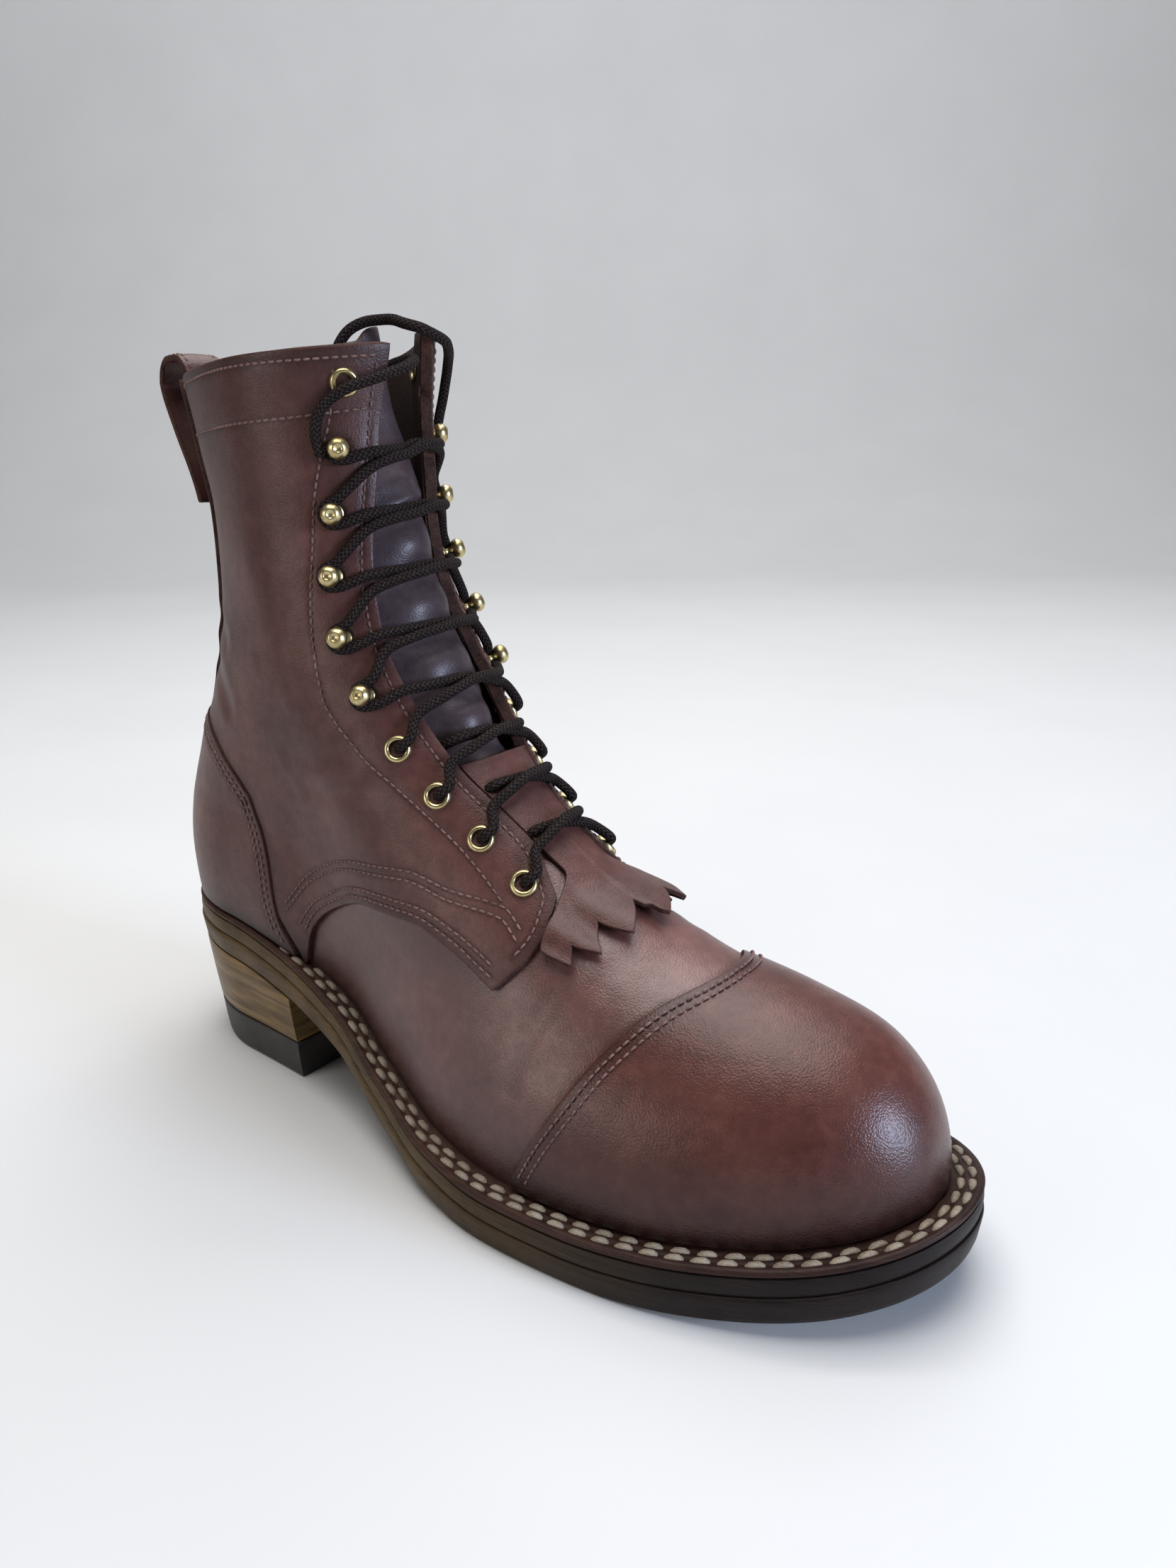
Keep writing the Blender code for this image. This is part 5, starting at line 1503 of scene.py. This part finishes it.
def flowing(points):
    """Evenly spaced points on a rounded line through points."""
    p = np.asarray(points, float)
    ends = np.concatenate([[2 * p[0] - p[1]], p, [2 * p[-1] - p[-2]]])
    path = []
    for k in range(len(p) - 1):
        a, b, c, d = ends[k:k + 4]
        chord = np.linalg.norm(np.diff([a, b, c, d], axis=0), axis=1)
        t = np.concatenate([[0], np.cumsum(chord ** 0.5)])
        u = np.linspace(t[1], t[2], 24, endpoint=False)[:, None]
        e = part_way(u, t[0], t[1], a, b)
        f = part_way(u, t[1], t[2], b, c)
        g = part_way(u, t[2], t[3], c, d)
        h = part_way(u, t[0], t[2], e, f)
        i = part_way(u, t[1], t[3], f, g)
        path.append(part_way(u, t[1], t[2], h, i))
    path = np.concatenate(path + [p[-1:]])
    return softened(evenly(path, int(length_of(path) / LACE_SPACING) + 1), 2)


def tube(name, path, nodes):
    """Round lace along close points, with its length in millimetres along the map's second way."""
    radius = LACE_RADIUS
    sides = 14
    along = unit(np.gradient(path, axis=0))
    across = np.empty_like(along)
    across[0] = unit(np.cross(along[0], (0.31, 0.2, 0.93)))
    for k in range(1, len(path)):
        across[k] = unit(across[k - 1] - along[k] * np.dot(across[k - 1], along[k]))
    other = np.cross(along, across)
    angle = np.linspace(0, 2 * np.pi, sides + 1)
    ring_points = (path[:, None] + radius * (np.cos(angle)[None, :, None] * across[:, None]
                                             + np.sin(angle)[None, :, None] * other[:, None]))
    run = run_along(path)
    uv = np.stack(np.broadcast_arrays(np.linspace(0, 1, sides + 1)[None], run[:, None]), -1).reshape(-1, 2)
    points = ring_points.reshape(-1, 3)
    faces = [list(face) for face in grid_faces(len(path), sides + 1)[:, ::-1]]
    total = len(points)
    caps = []
    for end, step in ((0, 1), (len(path) - 1, -1)):
        caps.append(path[end] - along[end] * step * radius * 0.5)
        first = end * (sides + 1)
        for k in range(sides):
            face = [first + k, first + k + 1, total]
            faces.append(face if step > 0 else face[::-1])
        total += 1
    points = np.concatenate([points, caps])
    uv = np.concatenate([uv, [(0.5, 0.0), (0.5, run[-1])]])
    return piece(name, points, faces, [LACE], uv=uv, nodes=nodes)


def row_frame(side, row):
    """Place on the skin of a lacing point with the ways out, towards the ridge and up the shaft."""
    turns, ups = lacing_rows(side)
    place = skin(turns[row], ups[row])
    out = normals(turns[row:row + 1], ups[row:row + 1])[0]
    inward = skin(turns[row] + side * 0.05, ups[row]) - place
    inward = unit(inward - out * np.dot(inward, out))
    rise = np.cross(out, inward)
    rise = rise if rise[2] > 0 else -rise
    return place, out, inward, rise


# Way towards the ridge and up the shaft, along the lace as it passes behind a hook
HOOK_BEND = ((5.4, -2.7), (1.9, -3.3), (-1.8, -2.7), (-3.2, 0.0), (-1.8, 2.7), (1.7, 3.6), (4.2, 5.4))


def strand(side, row, over):
    """Points of one crossing from a row on one side to the next row on the other."""
    rows = lacing_rows(side)[1]
    hooked = row in HOOK_ROWS
    into_hook = row + 1 in HOOK_ROWS
    share = np.array((0.16, 0.30, 0.42, 0.5, 0.58, 0.70, 0.84))
    climb = curve(LACE_CLIMB, 1, share)
    if not hooked:
        climb = climb * np.array((0.75, 0.85, 0.95, 1, 1, 1, 1))
    up = rows[row] + (rows[row + 1] - rows[row]) * climb
    facing = curve(FACING, 1, up)
    reach = facing + ROW_SETBACK - 6
    distance = side * reach * (1 - 2 * share) / (1 - 2 * 0.08)
    turn = across_front(distance, up)
    inside = np.clip(np.abs(distance) / facing, 0, 1.2)
    middle = (LACE_OVER if over else LACE_UNDER) + (1.2 if row < 2 else 0.0)
    ahead = share < 0.5
    near = LACE_SEAT + 0.2
    if row >= 7:
        middle = middle - 1.6
    height = middle + (near - middle) * ease(0.35, 1.0, inside)
    if not into_hook:
        dive = middle + (-WALL - LACE_RADIUS - 0.4 - middle) * ease(0.62, 1.12, inside)
        height = np.where(ahead, height, dive)
    return raised(turn, up, height)


def chain(start):
    """One end of the lace from the lowest eyelet to the top hook, changing sides at every row."""
    side = start
    points = []
    for row in range(ROWS - 1):
        place, out, inward, rise = row_frame(side, row)
        flat = PANEL_TOP + float(relief(place))
        if row in HOOK_ROWS:
            bend = HOOK_BEND[:4] if row == ROWS - 2 else HOOK_BEND
            route = [(c, v, flat + LACE_RADIUS) for c, v in bend]
        else:
            route = [(1.0, -0.6, -WALL - 2.0)]
            if row == 0:
                route = [(7.0, -2.0, -WALL - 2.6), (1.5, -0.5, -WALL - 1.6)]
            route += [(0.2, 0.0, flat - 0.6), (1.2, 0.6, flat + 1.9), (4.6, 1.8, flat + 2.7)]
        points += [place + inward * c + rise * v + out * h for c, v, h in route]
        if row < ROWS - 2:
            points += list(strand(side, row, over=(row % 2 == 0) == (start < 0)))
        side = -side
    return np.array(points)


def add_lace():
    """Two runs of lace through eyelets and hooks, and the two free ends tucked into the collar."""
    outer = chain(-1)
    inner = chain(1)
    crossings = tuple(f"lace_cross_{k + 1}" for k in range(ROWS - 2))
    for name, path, nodes, end in (("lace_run_outer", outer, crossings, LACE_END_OUTER),
                                   ("lace_run_inner", inner, (), LACE_END_INNER)):
        route = np.concatenate([path, np.array(end[:1])])
        tube(name, flowing(route), nodes)
    for name, route in (("lace_end_outer", LACE_END_OUTER), ("lace_end_inner", LACE_END_INNER)):
        path = flowing(smooth_path(route, 30))
        made = tube(name + "_cord", path, (name,))


def add_quarters():
    """Shaft panels of both sides with their sewn lines."""
    grid = quarter_grid()
    outer = Panel(grid, -1, PANEL_TOP)
    k = QUARTER_STEPS
    low = np.stack([outer.turn[0], outer.up[0]], -1)
    high = np.stack([outer.turn[-1], outer.up[-1]], -1)
    rows = [outer.row(low[10 * k + 12:], distance) for distance in QUARTER_EDGE_ROWS]
    rows.append(outer.row(high[:9 * k + 1], COLLAR_ROW, -1.0))
    rows.append(outer.row(high[9 * k:], FACING_ROW, -1.0))
    for shift in (-ARCH_SPLIT, ARCH_SPLIT):
        rows.append(edge_on_skin(np.array(ARCH_LINE) + (0.0, shift), 160))
    rows.append(edge_on_skin(EYESTAY_LINE, 200))
    rows.append(edge_on_skin(BAND_LINE, 120))
    for word, side in (("outer", -1), ("inner", 1)):
        panel = Panel(grid, side, PANEL_TOP)
        for path in rows:
            sew(panel, path, PANEL_TOP, side)
        burnish(panel)
        add_panel(f"quarter_{word}_dressed", panel, QUARTER_THICKNESS, LEATHER, f"quarter_{word}_side")


def add_cap():
    """Toe cap, thinned at its seam, with painted shade darkening it towards the welt."""
    top = OVERLAY_GAP + CAP_THICKNESS
    panel = Panel(cap_grid(), 1, top)
    panel.height = panel.height - 0.8 * np.exp(-np.arange(len(panel.height)) / 3.0)[:, None]
    for distance in EDGE_ROWS:
        sew(panel, panel.inset(distance, 0.03, 0.97), top)
    burnish(panel)
    # Painted shade: the cap darker towards its foot at the welt
    rise = np.maximum(panel.base[..., 2] - feather(panel.base[..., 0]), 0)
    panel.shade = panel.shade * (1 - CAP_PAINTED_SHADE * np.exp(-rise / CAP_PAINTED_SHADE_RUN))
    add_panel("toe_cap_dressed", panel, CAP_THICKNESS, CAP_LEATHER, "toe_cap")


def add_counter():
    """Heel counter with two rows along its top and its front edges."""
    top = OVERLAY_GAP + COUNTER_THICKNESS
    panel = Panel(counter_grid(), 1, top)
    edge = np.stack([panel.turn, panel.up], -1)
    for distance in EDGE_ROWS:
        sew(panel, panel.row(edge[0], distance), top)
        sew(panel, panel.row(edge[:, 0], distance, -1.0), top)
        sew(panel, panel.row(edge[:, -1], distance), top)
    burnish(panel)
    add_panel("heel_counter_dressed", panel, COUNTER_THICKNESS, LEATHER, "heel_counter")


def add_camera():
    """Camera at the photograph's place."""
    turn, drop, roll = np.radians((CAMERA_TURN, CAMERA_DROP, CAMERA_ROLL))
    back = np.array((np.sin(turn) * np.cos(drop), -np.cos(turn) * np.cos(drop), np.sin(drop)))
    right = unit(np.cross(-back, (0.0, 0.0, 1.0)))
    above = np.cross(right, -back)
    right, above = (np.cos(roll) * right + np.sin(roll) * above,
                    np.cos(roll) * above - np.sin(roll) * right)
    data = bpy.data.cameras.new("camera")
    data.sensor_fit = "VERTICAL"
    data.sensor_height = 24.0
    data.lens = CAMERA_FOCAL * data.sensor_height / IMAGE_HEIGHT
    data.clip_start = 0.01
    data.clip_end = 20.0
    camera = bpy.data.objects.new("camera", data)
    spin = Matrix(np.column_stack([right, above, back]).tolist()).to_4x4()
    camera.matrix_world = Matrix.Translation(world(CAMERA_PLACE).tolist()) @ spin
    bpy.context.scene.collection.objects.link(camera)
    bpy.context.scene.camera = camera


# Name, place, target, size in metres, power in watts and colour
LIGHTS = (
    ("overhead", (0.05, -0.1, 1.5), (0, 0, 0.1), (1.1, 1.1), 22, (1.0, 0.98, 0.95)),
    ("left", (-0.5, -1.3, 0.42), (0.02, 0, 0.08), (0.8, 0.5), 5.5, (1.0, 0.95, 0.9)),
    ("front", (1.5, 0.15, 0.42), (0.12, 0, 0.06), (0.5, 0.45), 26, (0.62, 0.75, 1.0)),
    ("far_top", (-0.4, 0.8, 1.5), (0.05, 0, 0.1), (0.9, 0.9), 9, (0.95, 0.97, 1.0)))


def add_light(name, place, target, size, power, colour):
    data = bpy.data.lights.new(name, "AREA")
    data.shape = "RECTANGLE"
    data.size, data.size_y = size
    data.energy = power
    data.color = colour
    lamp = bpy.data.objects.new(name, data)
    back = unit(np.array(place, float) - np.array(target, float))
    right = unit(np.cross((0.0, 0.0, 1.0), back))
    spin = Matrix(np.column_stack([right, np.cross(back, right), back]).tolist()).to_4x4()
    lamp.matrix_world = Matrix.Translation(place) @ spin
    lamp.visible_camera = False
    bpy.context.scene.collection.objects.link(lamp)


def add_studio():
    """Pale floor that sweeps up behind the boot, and soft light."""
    s = Surface("floor", Roughness=0.7)
    cloud = s.noise(s.place(), 6.0, 3.0, 0.5)
    s.finish(Base_Color=s.ramp(cloud, (0.3, (0.56, 0.56, 0.56)), (0.7, (0.58, 0.58, 0.58))))
    bend = np.radians(np.linspace(0, 90, 25))
    radius = 1.2
    run = np.concatenate([[-6.0, -2.0, 0.0], 1.6 + radius * np.sin(bend), [2.8]])
    rise = np.concatenate([[0.0, 0.0, 0.0], radius - radius * np.cos(bend), [6.0]])
    turn = np.radians(CAMERA_TURN)
    away = np.array((-np.sin(turn), np.cos(turn), 0.0))
    aside = np.array((np.cos(turn), np.sin(turn), 0.0))
    width = np.linspace(-7, 7, 9)
    points = (run[:, None, None] * away + width[None, :, None] * aside
              + rise[:, None, None] * np.array((0.0, 0.0, 1.0)))
    mesh = bpy.data.meshes.new("floor")
    mesh.from_pydata(points.reshape(-1, 3).tolist(), [], grid_faces(len(run), len(width))[:, ::-1].tolist())
    mesh.shade_smooth()
    mesh.materials.append(s.material)
    floor = bpy.data.objects.new("floor", mesh)
    bpy.context.scene.collection.objects.link(floor)
    sky = bpy.data.worlds.new("studio")
    sky.use_nodes = True
    background = sky.node_tree.nodes["Background"]
    background.inputs["Color"].default_value = (0.94, 0.97, 1.0, 1)
    background.inputs["Strength"].default_value = 0.12
    bpy.context.scene.world = sky
    bpy.context.scene.view_settings.view_transform = "Standard"
    for light in LIGHTS:
        add_light(*light)
    back = np.array((0.0, 0.0, 2.6)) + away * 0.9
    wall = back * (1, 1, 0) + away * 1.9 + (0, 0, 1.2)
    add_light("backdrop", back.tolist(), wall.tolist(), (4.0, 1.0), 55, (1.0, 1.0, 1.0))


add_camera()
add_lace()
add_sole()
add_heel()
add_welt_stitches()
add_shell()
add_vamp()
add_quarters()
add_cap()
add_counter()
add_back_strip()
add_pull_loop()
add_tongue()
add_kiltie()
add_hardware()
add_stitches()
add_studio()
